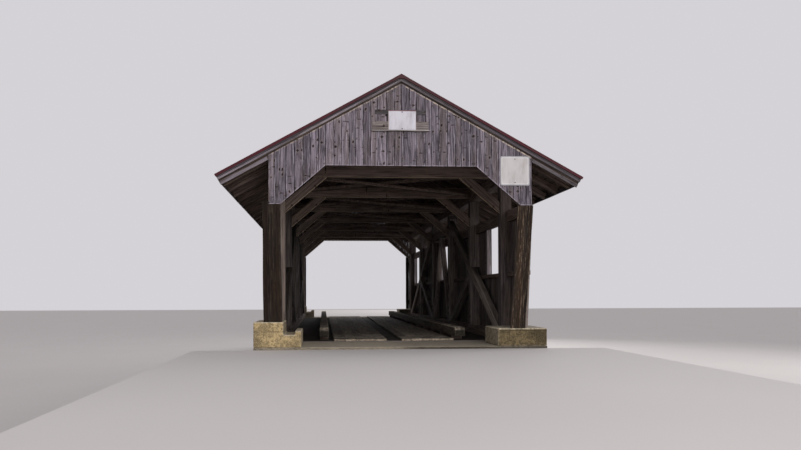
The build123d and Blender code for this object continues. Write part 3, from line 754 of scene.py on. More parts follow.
@dataclass(frozen=True)
class PlateFinish:
    """White sheet plate with a thin dark margin and a painted shadow along its edge, or a red line; grime and
    rust round its fixings.
    """

    name: str
    middle: tuple[float, float, float]
    half_size: Pair
    margin: float
    top_line: float
    white: Color
    rim: Color = (0.31, 0.305, 0.325)
    bright: Color = (0.64, 0.62, 0.61)
    outline: Color = (0.06, 0.055, 0.06)
    grime: Color = (0.30, 0.27, 0.25)
    rust: Color = (0.22, 0.10, 0.04)
    red: Color = (0.11, 0.012, 0.022)
    brown: Color = (0.22, 0.12, 0.07)

    def material(self) -> bpy.types.Material:
        """Build the finish's material.

        Returns:
            The material.
        """
        sketch = NodeSketch(self.name)
        point = sketch.vector("SUBTRACT", sketch.point, self.middle)
        x, _, z = sketch.axes(point)
        half_x, half_z = self.half_size
        from_side = half_x - abs(x)
        grime = sketch.noise(point, (9, 9, 2.5), 5, 0.65)
        sketch.color = sketch.blend(grime.span(0.45, 0.75, 0, 0.45), self.white, self.grime)
        if self.margin:
            inset = sketch.math("SMOOTH_MIN", from_side, half_z - abs(z), 0.05)
            sketch.paint(abs(inset - (self.margin + 0.007)).span(0.004, 0.009, 0.7, 0), self.bright)
            sketch.paint(inset.span(self.margin - 0.004, self.margin, 0.9, 0), self.rim)
            # Painted shadow along the plate's edge.
            sketch.paint(inset.span(0.006, 0.011, 0.8, 0), self.outline)
        sketch.paint(sketch.noise(point, (30, 30, 6), 4, 0.7).span(0.70, 0.80, 0, 0.5), self.rust)
        if self.top_line:
            sketch.paint(sketch.math("GREATER_THAN", z, half_z - self.top_line) * 0.9, self.red)
            sketch.paint(from_side.span(0.006, 0.014, 0.6, 0), self.brown)
        return sketch.surface(grime.span(0.3, 0.7, 0.35, 0.6), grime, 0.0005)


@dataclass(frozen=True)
class IronFinish:
    """Old iron, rusted brown and black."""

    name: str = "old_iron"
    black: Color = (0.018, 0.015, 0.014)
    brown: Color = (0.085, 0.040, 0.022)

    def material(self) -> bpy.types.Material:
        """Build the finish's material.

        Returns:
            The material.
        """
        sketch = NodeSketch(self.name)
        rust = sketch.noise(sketch.point, 70, 5, 0.7)
        sketch.shader.inputs["Metallic"].default_value = 0.5
        sketch.color = sketch.blend(rust.span(0.4, 0.65), self.black, self.brown)
        return sketch.surface(rust.span(0.35, 0.65, 0.5, 0.85), rust, 0.0008)


@dataclass(frozen=True)
class StudioFinish:
    """Plain matt paint of the studio."""

    name: str = "studio_paint"
    shade: Color = (0.5208, 0.4929, 0.4743)
    light: Color = (0.56, 0.53, 0.51)

    def material(self) -> bpy.types.Material:
        """Build the finish's material.

        Returns:
            The material.
        """
        sketch = NodeSketch(self.name)
        sketch.color = sketch.blend(sketch.noise(sketch.point, 0.25, 2), self.shade, self.light)
        return sketch.surface(0.9)


@dataclass
class Plank:
    """One board in its own frame: x along it, y across it and z through it.

    The frame's origin is the middle of the board.
    """

    frame: Matrix
    length: float
    width: float
    thickness: float
    wander: float = 0.003
    bow: float = 0.001


@dataclass
class BoardShop:
    """Models one board by hand and lays changed copies of it."""

    segments: int = 8
    edge: float = 0.004
    size: tuple[float, float, float] = (1.0, 0.2, 0.04)
    margin: float = 0.009
    grain_reach: float = 40
    wave_lengths: Pair = (0.7, 1.9)
    points: np.ndarray = field(init=False)
    faces: list[tuple[int, ...]] = field(init=False)

    def __post_init__(self) -> None:
        """Model the pattern board: a block cut into lengths, with eased edges."""
        half = Vector(self.size) / 2
        board = add_block("pattern_board", -half, half)
        edit_facing(board, X_AXIS, bpy.ops.mesh.subdivide, "EDGE", number_cuts=self.segments - 1)
        add_bevel(board, self.edge, 1)
        apply_modifiers(board)
        mesh = board.data
        self.points = np.array([vert.co[:] for vert in mesh.vertices])
        self.faces = [tuple(face.vertices) for face in mesh.polygons]
        bpy.data.objects.remove(board)
        bpy.data.meshes.remove(mesh)

    def resized(self, plank: Plank) -> np.ndarray:
        """The pattern's points at a plank's size, with its eased edges as they are.

        Args:
            plank: The plank.

        Returns:
            The points in the plank's frame.
        """
        points = self.points.copy()
        for axis, (old, new) in enumerate(zip(self.size, (plank.length, plank.width, plank.thickness))):
            value, sign = np.abs(points[:, axis]), np.sign(points[:, axis])
            inner = old / 2 - self.margin
            moved = np.where(value > inner, new / 2 - (old / 2 - value),
                             value * (new / 2 - self.margin) / inner)
            points[:, axis] = moved * sign
        return points

    def lay(self, name: str, planks: Sequence[Plank], seed: int) -> bpy.types.Object:
        """Lay planks as one object, each with its own wander, bow, tone and grain.

        Args:
            name: Name of the object.
            planks: The planks.
            seed: Seed of the random draws.

        Returns:
            The object, with a grain vector, a tone and a place across the board on each vertex.
        """
        rng = np.random.default_rng(seed)
        points, faces, grains, tones, places = [], [], [], [], []
        for index, plank in enumerate(planks):
            local = self.resized(plank)
            grains.append(local + rng.uniform(0, self.grain_reach, 3))
            places.append(local[:, 1] / (plank.width / 2))
            along = local[:, 0]
            for edge in (-1, 1):
                wave = 2 * math.pi / rng.uniform(*self.wave_lengths)
                shift = plank.wander * rng.uniform(0.3, 1) * np.sin(along * wave + rng.uniform(0, ANY_PHASE))
                inward = edge * plank.wander * 0.6
                local[:, 1] += np.where(np.sign(local[:, 1]) == edge, shift - inward, 0)
            local[:, 2] += plank.bow * np.sin(along * rng.uniform(1, 3) + rng.uniform(0, ANY_PHASE))
            points.append(local @ np.array(plank.frame.to_3x3()).T + np.array(plank.frame.translation))
            faces += [tuple(corner + index * len(local) for corner in face) for face in self.faces]
            tones += [float(rng.uniform(0, 1))] * len(local)
        mesh = bpy.data.meshes.new(name)
        mesh.from_pydata(np.concatenate(points).tolist(), [], faces)
        mesh.attributes.new("grain", "FLOAT_VECTOR", "POINT").data.foreach_set(
            "vector", np.concatenate(grains).astype(np.float32).ravel())
        store(mesh, "tone", tones)
        store(mesh, "across", np.concatenate(places))
        mesh.validate()
        return add_object(name, mesh)


def upright(x: float, y: float, z: float) -> Matrix:
    """Frame of a board that stands on end, facing along the bridge."""
    return Matrix.Translation((x, y, z)) @ Matrix(((0, 1, 0), (0, 0, -1), (-1, 0, 0))).to_4x4()


def upright_side(x: float, y: float, z: float) -> Matrix:
    """Frame of a board that stands on end, facing across the bridge."""
    return Matrix.Translation((x, y, z)) @ Matrix(((0, 0, 1), (0, 1, 0), (-1, 0, 0))).to_4x4()


def lengthwise(x: float, y: float, z: float) -> Matrix:
    """Frame of a board that lies flat along the bridge."""
    return Matrix.Translation((x, y, z)) @ Matrix(((0, -1, 0), (1, 0, 0), (0, 0, 1))).to_4x4()


def split_run(low: float, high: float, pitch: float, rng: random.Random,
              uneven: float = 0.25) -> list[Pair]:
    """Divide a run into boards of uneven widths.

    Args:
        low: Start of the run.
        high: End of the run.
        pitch: Usual width of a board.
        rng: Source of the random draws.
        uneven: Share of the width by which boards differ.

    Returns:
        Both edges of each board.
    """
    count = max(1, round((high - low) / pitch))
    widths = [1 + rng.uniform(-uneven, uneven) for _ in range(count)]
    scale = (high - low) / sum(widths)
    joints = [low]
    for width in widths:
        joints.append(joints[-1] + width * scale)
    return list(zip(joints, joints[1:]))


def staggered(end: float, first: Pair, later: Pair, rng: random.Random,
              shortest: float = 0.9) -> Iterator[Pair]:
    """Divide a row from one portal to the other into boards of uneven lengths.

    Args:
        end: The row's reach on each side of the middle.
        first: Least and greatest length of the first board.
        later: Least and greatest length of the others.
        rng: Source of the random draws.
        shortest: Least length that may be left for the last board.

    Yields:
        Both ends of each board.
    """
    start, length = -end, rng.uniform(*first)
    while start < end:
        stop = min(start + length, end)
        if end - stop < shortest:
            stop = end
        yield start, stop
        start, length = stop, rng.uniform(*later)


class Finishes:
    """All of the bridge's materials, made once."""

    def __init__(self) -> None:
        """Build every material that the sub-assemblies share."""
        def wood(name: str, *colors: Color, **values: object) -> bpy.types.Material:
            """One wood finish's material."""
            return WoodFinish(name, *colors, **values).material()

        angle = math.radians
        # Brown timbers: undersides painted darker as painted shade, and arrises painted pale as wear and
        # painted highlight.
        brown = {"dark": (0.078, 0.057, 0.050), "light": (0.25, 0.187, 0.160), "warmth": 0.3,
                 "warm": (0.22, 0.15, 0.10), "underside": 0.5, "fleck": (0.34, 0.26, 0.19),
                 "arris_color": (0.75, 0.58, 0.39)}
        # Truss timbers: the left trusses painted darker than the right, as painted shade.
        gray = {"dark": (0.105, 0.086, 0.080), "light": (0.34, 0.285, 0.260), "warmth": 0.25,
                "warm": (0.26, 0.20, 0.15), "left_shade": 0.5, "arris": 0.5}
        # Gable boards: the left half painted a little lighter than the right, as painted light.
        self.gable = wood("gable_boards", (0.046, 0.039, 0.047), (0.232, 0.198, 0.233),
                          warm=(0.25, 0.198, 0.178), warmth=0.30, knots=0.62,
                          fleck=(0.44, 0.39, 0.45), flecks=0.75, left_shade=1.08, tone_spread=0.5,
                          coarse=0.30, edges=0.6, pale_end=True, splinters=0.4)
        # Rake and eave boards: the right half painted darker than the left, as painted shade.
        self.rake = wood("rake_boards", (0.048, 0.042, 0.046), (0.145, 0.127, 0.140), warmth=0.15,
                         warm=(0.13, 0.105, 0.09), flecks=0.35, fleck=(0.22, 0.195, 0.21), left_shade=1.7)
        self.rake_upper = wood("rake_uppers", (0.042, 0.036, 0.041), (0.145, 0.126, 0.138), warmth=0.15,
                               warm=(0.16, 0.13, 0.11), flecks=0.2)
        # The dark filler boards behind the rake stand in for the shadow there: painted shade.
        self.filler = wood("rake_fillers", (0.020, 0.015, 0.013), (0.06, 0.045, 0.038))
        self.panel = wood("panel_boards", (0.007, 0.005, 0.004), (0.030, 0.021, 0.015), warmth=0.35,
                          warm=(0.050, 0.027, 0.014), flecks=0.95, fleck=(0.25, 0.180, 0.13), knots=0.12,
                          edges=0.15, right_wear=0.06, splinters=0.8, left_shade=0.78)
        self.siding = wood("siding_boards", (0.060, 0.050, 0.047), (0.21, 0.180, 0.170), warmth=0.3,
                           knots=0.12, flecks=0.3, fleck=(0.26, 0.23, 0.22), edges=0.2)
        self.plank = wood("deck_planks", (0.012, 0.010, 0.008), (0.045, 0.037, 0.031), warmth=0.2,
                          warm=(0.05, 0.04, 0.03), flecks=0.15, fleck=(0.20, 0.175, 0.145),
                          relief=0.004, pale_past_y=7.86)
        # Running planks: their sawn ends painted paler as a painted highlight.
        self.track = wood("running_planks", (0.052, 0.043, 0.032), (0.18, 0.148, 0.114), warmth=0.2,
                          flecks=0.45, fleck=(0.28, 0.25, 0.22), relief=0.005, end_shade=2.6,
                          scuffed_past_y=5.0, scuffed=(0.34, 0.295, 0.235))
        self.roof_board = wood("roof_boards", (0.030, 0.023, 0.020), (0.105, 0.080, 0.068), knots=0.08,
                               edges=0.1)
        self.dark_board = wood("dark_sign_boards", (0.025, 0.022, 0.024), (0.11, 0.097, 0.100), warmth=0.1,
                               knots=0.3)
        self.sign_board = wood("sign_boards", (0.080, 0.068, 0.068), (0.29, 0.252, 0.245), warmth=0.2,
                               warm=(0.28, 0.22, 0.18), knots=0.3, tone_spread=0.2, flecks=0.3)
        # Sign ledge: its underside painted dark as painted shade.
        self.ledge = wood("sign_ledges", (0.28, 0.25, 0.24), (0.62, 0.56, 0.54), warmth=0.1, underside=0.15)
        # Posts: painted shade high up and on the left truss.
        self.upright = wood("posts", grain=Grain.ALONG_Z, top_shade=0.5, flecks=0.3,
                            fleck=(0.26, 0.22, 0.18), **gray)
        # Lit and shaded copies of one post wood, as painted light and shade.
        self.pale_upright = wood("lit_posts", (0.19, 0.148, 0.125), (0.36, 0.285, 0.245),
                                 grain=Grain.ALONG_Z, warmth=0.2, flecks=0.3, fleck=(0.40, 0.32, 0.27))
        self.jamb = wood("window_jambs", (0.19, 0.165, 0.170), (0.66, 0.58, 0.60), grain=Grain.ALONG_Z,
                         warmth=0.1, flecks=0.5, fleck=(0.80, 0.72, 0.74))
        self.dark_upright = wood("shaded_posts", (0.055, 0.044, 0.043), (0.20, 0.162, 0.156),
                                 grain=Grain.ALONG_Z, warmth=0.35, flecks=0.2, fleck=(0.24, 0.19, 0.16))
        self.portal = wood("portal_timbers", grain=Grain.ALONG_X, knots=0.3, pale_past_x=2.44, arris=0.8,
                           **brown)
        self.lengthwise = wood("long_timbers", grain=Grain.ALONG_Y, **brown)
        self.crosswise = wood("cross_timbers", grain=Grain.ALONG_X, knots=0.3, **brown)
        self.tie = wood("tie_timbers", grain=Grain.ALONG_X, knots=0.9, arris=0.6, **brown)
        # Main braces: pale colours painted as if lit by daylight from the windows, with painted shade on the
        # left truss, on their upper faces and above the window heads.
        self.main_brace = wood("main_braces", (0.21, 0.172, 0.148), (0.60, 0.505, 0.435),
                               grain=Grain.SLANT_YZ, slant=-angle(28.3), warmth=0.2,
                               warm=(0.34, 0.27, 0.20), left_shade=0.25, upper_face=0.6, arris=0.6,
                               top_shade=0.5, top_from=1.2, fleck=(0.55, 0.47, 0.40))
        self.counter_brace = wood("counter_braces", grain=Grain.SLANT_YZ, slant=angle(22), **gray)
        self.center_brace = wood("center_braces", grain=Grain.SLANT_YZ, slant=-angle(66), **gray)
        self.knee = wood("knee_braces", grain=Grain.SLANT_XZ, slant=-angle(40.8), knots=0.25, arris=0.8,
                         **brown)
        self.rafter = wood("rafters", grain=Grain.SLANT_XZ, slant=-PITCH, knots=0.25, **brown)
        # Curbs: their sawn ends painted darker as painted shade.
        self.curb = wood("curbs", (0.052, 0.043, 0.033), (0.185, 0.153, 0.118), grain=Grain.ALONG_Y,
                         warmth=0.25, warm=(0.20, 0.15, 0.10), flecks=0.35, fleck=(0.27, 0.225, 0.17),
                         arris=0.6, end_shade=0.32, scuffed_past_y=4.5)
        self.concrete = ConcreteFinish().material()
        self.old_concrete = ConcreteFinish("worn_concrete", (0.21, 0.185, 0.155),
                                           (0.095, 0.082, 0.070)).material()
        self.roofing = RoofPaintFinish().material()
        self.chalked = RoofPaintFinish("chalked_ridge", chalk=0.96).material()
        self.flashing = RoofPaintFinish("red_flashing", (0.060, 0.006, 0.012),
                                        (0.095, 0.014, 0.022)).material()
        self.iron = IronFinish().material()


@dataclass
class CarriedTimbers:
    """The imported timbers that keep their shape, with eased edges and their finishes."""

    finishes: Finishes
    edge: float = 0.008
    wide: float = 0.01
    weld: float = 0.0002
    worn_edges: dict[str, float] = field(default_factory=lambda: {
        "near_corner_blocks": 0.030, "far_corner_blocks": 0.030, "curbs": 0.022, "curb_blocks": 0.015,
        "near_portal_frame": 0.012, "knee_braces": 0.012, "tie_beams": 0.012, "ridge_cap": 0.0004})

    def plan(self) -> dict[str, bpy.types.Material]:
        """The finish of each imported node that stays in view.

        Returns:
            The material by the node's name.
        """
        shop = self.finishes
        plan = {
            "near_abutment": shop.old_concrete, "far_abutment": shop.old_concrete,
            "near_corner_blocks": shop.concrete, "far_corner_blocks": shop.old_concrete,
            "floor_beams": shop.crosswise, "stringers": shop.lengthwise, "curbs": shop.curb,
            "curb_blocks": shop.crosswise, "straining_beams": shop.lengthwise,
            "wall_plates": shop.lengthwise, "tie_beams": shop.tie, "knee_braces": shop.knee,
            "lower_lateral_braces": shop.crosswise, "upper_lateral_braces": shop.crosswise,
            "ridge_cap": shop.chalked, "window_jambs": shop.jamb,
            "near_portal_frame": shop.portal, "far_portal_frame": shop.portal,
        }
        for side in SIDES:
            plan |= {
                f"{side}_bottom_chord": shop.lengthwise,
                # The left end posts are painted lit and the right ones shaded.
                f"{side}_end_posts": shop.pale_upright if side == "left" else shop.dark_upright,
                f"{side}_middle_posts": shop.upright, f"{side}_queen_posts": shop.upright,
                f"{side}_main_braces": shop.main_brace, f"{side}_counter_braces": shop.counter_brace,
                f"{side}_center_braces": shop.center_brace, f"{side}_girts": shop.lengthwise,
                f"{side}_rafters": shop.rafter,
            }
        return plan

    def build(self) -> None:
        """Give each node its finish, and ease its edges with live modifiers.

        Under a wide bevel the faces are first merged where they are flat, so that their inner edges
        don't narrow it.
        """
        for name, material in self.plan().items():
            node = frame["nodes"][name]
            node.data.materials.clear()
            node.data.materials.append(material)
            node.modifiers.new("weld", "WELD").merge_threshold = self.weld
            width = self.worn_edges.get(name, self.edge)
            if width > self.wide:
                flat = node.modifiers.new("flat", "DECIMATE")
                flat.decimate_type, flat.angle_limit = "DISSOLVE", math.radians(1)
            add_bevel(node, width)
            LOG.info("dressed %s", name)


def place(obj: bpy.types.Object, material: bpy.types.Material, slot: str, *nodes: str) -> bpy.types.Object:
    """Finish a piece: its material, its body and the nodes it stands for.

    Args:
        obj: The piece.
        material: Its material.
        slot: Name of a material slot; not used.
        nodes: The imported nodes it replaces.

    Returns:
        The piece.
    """
    obj.data.materials.clear()
    obj.data.materials.append(material)
    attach(obj, "root")
    if nodes:
        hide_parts(*nodes)
    LOG.info("built %s with %d faces", obj.name, len(obj.data.polygons))
    return obj


@dataclass
class Gable:
    """A portal's gable: upright boards cut along the roof and over the roadway."""

    end: str
    finishes: Finishes
    shop: BoardShop
    seed: int
    opening_x: float = OPENING[0][0]
    opening_z: float = OPENING[0][1]
    cheek_x: float = OPENING[1][0]
    cheek_z: float = OPENING[1][1]
    board_width: float = 0.15
    joint: float = 0.003
    play: float = 0.004
    spare_foot: float = 0.05
    set_back: Pair = (0.001, 0.003)
    top_depth: float = 0.134
    top_spare: float = 0.004
    top_jog: float = 0.008
    top_share: float = 0.2
    off_slope: Pair = (0.5, 3.5)

    def board(self, low: float, high: float, rng: random.Random) -> bpy.types.Object:
        """One board, with its top sawn a little off the roof's slope.

        Args:
            low: Lowest x.
            high: Highest x.
            rng: Source of the random draws.

        Returns:
            The board, still whole at its foot.
        """
        middle = (low + high) / 2
        slope = 1 if middle > 0 else -1
        inner, outer = sorted((abs(low), abs(high)))
        top, foot = roof_z(inner), self.cheek_z - self.spare_foot
        y = ENDS[self.end] * (PORTAL_Y - BOARD / 2 - rng.uniform(*self.set_back))
        plank = Plank(upright(middle, y, (top + foot) / 2), top - foot, high - low - self.joint,
                      BOARD - self.play)
        board = self.shop.lay("gable_board", [plank], rng.randrange(SEEDS))
        tilt = PITCH - math.radians(rng.uniform(*self.off_slope))
        depth = self.top_depth + rng.uniform(0, self.top_jog)
        top = roof_z(outer) - depth / math.cos(PITCH) + (outer - inner) * math.tan(PITCH) * self.top_share
        slice_off(board, (slope * outer, 0, top), roof_out(slope, tilt))
        least = (self.top_depth - self.top_spare) / math.cos(PITCH)
        slice_off(board, (0, 0, RIDGE_Z - least), roof_out(slope))
        return board

    def build(self) -> None:
        """Saw and nail up all of the boards."""
        rng = random.Random(self.seed)
        run, rise = self.cheek_x - self.opening_x, self.opening_z - self.cheek_z
        boards = []
        for side in (-1, 1):
            zones = ((0.0, self.opening_x, (0, 0, self.opening_z), (0, 0, -1)),
                     (self.opening_x, self.cheek_x, (side * self.opening_x, 0, self.opening_z),
                      (-side * rise, 0, -run)),
                     (self.cheek_x, WALL_X, (0, 0, self.cheek_z), (0, 0, -1)))
            for start, stop, point, downward in zones:
                for first, second in split_run(start, stop, self.board_width, rng):
                    board = self.board(*sorted((side * first, side * second)), rng)
                    slice_off(board, point, downward)
                    boards.append(board)
        place(join(f"{self.end}_gable_boards", boards), self.finishes.gable, "gable_board",
              f"{self.end}_gable")


@dataclass
class EndPanels:
    """The boards that close a portal's sides, from the concrete to the gable's cheeks."""

    end: str
    finishes: Finishes
    shop: BoardShop
    seed: int
    top_z: float = DECK_Z + 2.876
    feet: dict[int, float] = field(default_factory=lambda: {-1: DECK_Z + 0.5, 1: DECK_Z + 0.35})
    spans: dict[tuple[str, int], tuple[Pair, Pair]] = field(default_factory=lambda: {
        ("near", -1): ((2.460, 2.825), (2.420, 2.800)), ("near", 1): ((2.400, 2.735), (2.235, 2.545)),
        ("far", -1): ((2.430, 2.740), (2.430, 2.740)), ("far", 1): ((2.430, 2.740), (2.430, 2.740))})
    joints: dict[str, float] = field(default_factory=lambda: {"near": 0.675, "far": 0.5})
    proud: float = 0.060
    play: float = 0.005
    set_back: Pair = (0.001, 0.004)
    wander: float = 0.012

    def taper(self, obj: bpy.types.Object, side: int, foot: float) -> None:
        """Lean and taper upright boards between the widths at their foot and top.

        Args:
            obj: The boards, at unit width.
            side: 1 on the right and -1 on the left.
            foot: Height of their feet.
        """
        top_span, foot_span = self.spans[(self.end, side)]
        for vert in obj.data.vertices:
            share = (vert.co.z - foot) / (self.top_z - foot)
            inner = foot_span[0] + (top_span[0] - foot_span[0]) * share
            outer = foot_span[1] + (top_span[1] - foot_span[1]) * share
            vert.co.x = side * (inner + vert.co.x * (outer - inner))

    def build(self) -> None:
        """Lay the boards at unit width, and taper them into place.

        The outer board of the near left panel stands beside the gable and reaches a little higher.
        """
        rng = random.Random(self.seed)
        joint = self.joints[self.end]
        pieces = []
        for side in (-1, 1):
            foot = self.feet[side]
            rise = self.proud if self.end == "near" and side < 0 else 0.0
            planks = []
            for first, second, top in ((0, joint, self.top_z), (joint, 1, self.top_z + rise)):
                y = ENDS[self.end] * (PORTAL_Y - BOARD / 2 - rng.uniform(*self.set_back))
                stand = upright((first + second) / 2, y, (foot + top) / 2)
                planks.append(Plank(stand, top - foot, second - first, BOARD - self.play, self.wander))
            panel = self.shop.lay(f"panel_{side}", planks, rng.randrange(SEEDS))
            self.taper(panel, side, foot)
            if side < 0:
                face_outward(panel)
            pieces.append(panel)
        place(join(f"{self.end}_panel_boards", pieces), self.finishes.panel, "panel_board",
              f"{self.end}_end_panels")


@dataclass
class Rake:
    """The boards along a gable's edge, with the red metal folded over them."""

    end: str
    finishes: Finishes
    shop: BoardShop
    seed: int
    board_top: float = 0.004
    board_step: float = 0.054
    board_bottom: float = 0.101
    trim_top: float = 0.142
    trim_bottom: float = 0.218
    filler_top: float = 0.03
    filler_bottom: float = 0.127
    ridge_gap: float = 0.03
    filler_gap: float = 0.07
    front_thickness: float = 0.027
    upper_thickness: float = 0.020
    upper_back: float = 0.004
    step_gap: float = 0.002
    play: float = 0.002
    board_out: float = 0.0145
    fold_in: float = 0.06
    fold_out: float = 0.058
    fold_top: float = 0.0265
    gauge: float = 0.0015
    cap_low: tuple[float, float, float] = (-0.105, 0.030, -0.064)
    cap_high: tuple[float, float, float] = (0.105, 0.0594, 0.04)
    cap_edge: float = 0.003

    def strip(self, side: int, start: float, stop: float, top: float, bottom: float, y: float,
              thickness: float, wander: float) -> Plank:
        """A board along the roof's edge, between two depths below the sheet.

        Args:
            side: 1 on the right and -1 on the left.
            start: Its upper end, down the slope from the ridge.
            stop: Its lower end.
            top: Depth of its upper edge.
            bottom: Depth of its lower edge.
            y: Its middle along the bridge.
            thickness: Its thickness.
            wander: How far its edges wander.

        Returns:
            The board.
        """
        middle = Matrix.Translation(((start + stop) / 2, y * side, -(top + bottom) / 2))
        return Plank(roof_frame(side) @ middle @ ON_EDGE, stop - start, bottom - top, thickness, wander)

    def flashing(self, side: int) -> bpy.types.Object:
        """The folded metal edge: a leg on the roof, a creased face down the board and a hem.

        Args:
            side: 1 on the right and -1 on the left.

        Returns:
            The metal of one slope.
        """
        inner, outer = PORTAL_Y - self.fold_in, PORTAL_Y + self.fold_out
        profile = ((inner, self.fold_top), (outer - 0.004, self.fold_top), (outer, 0.024), (outer, 0.002),
                   (outer - 0.005, -0.001), (outer, -0.004), (outer, -0.026), (outer - 0.003, -0.028),
                   (outer - 0.005, -0.024))
        corners = [(0.0, side * ENDS[self.end] * y, z) for y, z in profile]
        mesh = bpy.data.meshes.new("flashing")
        mesh.from_pydata(corners, [(index, index + 1) for index in range(len(corners) - 1)], [])
        fold = add_object(f"flashing_{side}", mesh)
        bpy.context.tool_settings.mesh_select_mode = (False, True, False)
        edit_whole(fold, bpy.ops.mesh.extrude_region_move,
                   TRANSFORM_OT_translate={"value": (SLOPE + 0.008, 0, 0)})
        metal = fold.modifiers.new("gauge", "SOLIDIFY")
        metal.thickness, metal.offset = self.gauge, 0
        apply_modifiers(fold)
        fold.data.transform(roof_frame(side))
        slice_off(fold, (0, 0, 0), (-side, 0, 0))
        face_outward(fold)
        return fold

    def cap_end(self) -> bpy.types.Object:
        """The turned-down end of the ridge cap, between the two metal edges.

        Returns:
            The cap's end.
        """
        (low_x, low_y, low_z), (high_x, high_y, high_z) = self.cap_low, self.cap_high
        near, far = sorted(ENDS[self.end] * (PORTAL_Y + out) for out in (low_y, high_y))
        cap = add_block("cap_end", (low_x, near, RIDGE_Z + low_z), (high_x, far, RIDGE_Z + high_z))
        for side in (-1, 1):
            slice_off(cap, (0, 0, RIDGE_Z + self.fold_top / math.cos(PITCH)), roof_out(side))
        add_bevel(cap, self.cap_edge)
        apply_modifiers(cap)
        return cap

    def build(self) -> None:
        """Lay the boards, and fold the metal over them."""
        sign = ENDS[self.end]
        trim_start = WALL_X / math.cos(PITCH) + self.trim_bottom * math.tan(PITCH)
        outer, flush = sign * (PORTAL_Y + self.board_out), sign * (PORTAL_Y - BOARD / 2)
        end, thin = SLOPE - self.play, BOARD - self.play
        fronts, uppers, fillers = [], [], []
        for side in (-1, 1):
            uppers.append(self.strip(side, self.ridge_gap, end, self.board_top, self.board_step,
                                     outer - self.upper_back * sign, self.upper_thickness, 0.001))
            fronts.append(self.strip(side, self.ridge_gap, end, self.board_step + self.step_gap,
                                     self.board_bottom, outer, self.front_thickness, 0.002))
            fronts.append(self.strip(side, trim_start, SLOPE - 0.004, self.trim_top, self.trim_bottom,
                                     flush, thin, 0.007))
            fillers.append(self.strip(side, self.filler_gap, SLOPE - 0.008, self.filler_top,
                                      self.filler_bottom, flush, thin, 0.002))
        place(self.shop.lay(f"{self.end}_rake_front", fronts, self.seed), self.finishes.rake, "rake_board",
              f"{self.end}_rake_boards")
        place(self.shop.lay(f"{self.end}_rake_uppers", uppers, self.seed + 2), self.finishes.rake_upper,
              "rake_board")
        # The fillers carry a dark finish as painted shade.
        place(self.shop.lay(f"{self.end}_rake_filler", fillers, self.seed + 1), self.finishes.filler,
              "rake_board")
        folds = [*(self.flashing(side) for side in (-1, 1)), self.cap_end()]
        place(join(f"{self.end}_rake_flashing", folds), self.finishes.flashing, "roof_metal")


@dataclass
class Signs:
    """Two bare white plates on the near gable, one of them on weathered boards."""

    finishes: Finishes
    shop: BoardShop
    face_y: float = -PORTAL_Y
    board_depth: float = 0.020
    ledge_depth: float = 0.054
    name_low: Pair = (-0.27, DECK_Z + 4.39)
    name_high: Pair = (0.30, DECK_Z + 4.80)
    square_low: Pair = (2.035, DECK_Z + 3.28)
    square_high: Pair = (2.66, DECK_Z + 3.895)
    thickness: float = 0.004
    rim_width: float = 0.008
    rim_height: float = 0.0012

    def plate(self, name: str, low: Pair, high: Pair, back: float, corner: float, margin: float,
              top_line: float, white: Color) -> None:
        """Fix a thin plate with rounded corners and a raised rim.

        Args:
            name: Name of the plate.
            low: Lowest x and z.
            high: Highest x and z.
            back: The plane that it lies on.
            corner: Radius of its corners.
            margin: Distance of the dark line from the rim, or 0.
            top_line: Height of the red line along the top, or 0.
            white: Its white.
        """
        obj = add_block(name, (low[0], back - self.thickness, low[1]), (high[0], back, high[1]))
        edit_facing(obj, Y_AXIS, bpy.ops.mesh.bevel, "EDGE", offset=corner, segments=6, affect="EDGES")
        edit_facing(obj, -Y_AXIS, bpy.ops.mesh.inset, thickness=self.rim_width, depth=-self.rim_height)
        middle = ((low[0] + high[0]) / 2, back, (low[1] + high[1]) / 2)
        half = ((high[0] - low[0]) / 2, (high[1] - low[1]) / 2)
        finish = PlateFinish(f"{name}_enamel", middle, half, margin, top_line, white)
        place(obj, finish.material(), "roof_metal")

    def build(self) -> None:
        """Fix the boards and both plates."""
        finishes = self.finishes
        rows = (("sign_backing_top", finishes.dark_board, -0.537, 0.490, 4.719, 4.809, self.board_depth),
                ("sign_backing", finishes.sign_board, -0.600, 0.555, 4.395, 4.573, self.board_depth),
                ("sign_ledge", finishes.ledge, -0.615, 0.570, 4.370, 4.396, self.ledge_depth))
        for seed, (name, finish, low_x, high_x, low_z, high_z, depth) in enumerate(rows, 70):
            middle = Matrix.Translation(((low_x + high_x) / 2, self.face_y - depth / 2,
                                         DECK_Z + (low_z + high_z) / 2))
            board = Plank(middle @ ON_EDGE, high_x - low_x, high_z - low_z, depth, 0.003)
            place(self.shop.lay(name, [board], seed), finish, "gable_board")
        self.plate("name_plate", self.name_low, self.name_high, self.face_y - self.board_depth - 0.0005,
                   corner=0.012, margin=0.0, top_line=0.018, white=(0.53, 0.51, 0.56))
        self.plate("square_plate", self.square_low, self.square_high, self.face_y,
                   corner=0.050, margin=0.030, top_line=0.0, white=(0.46, 0.43, 0.425))


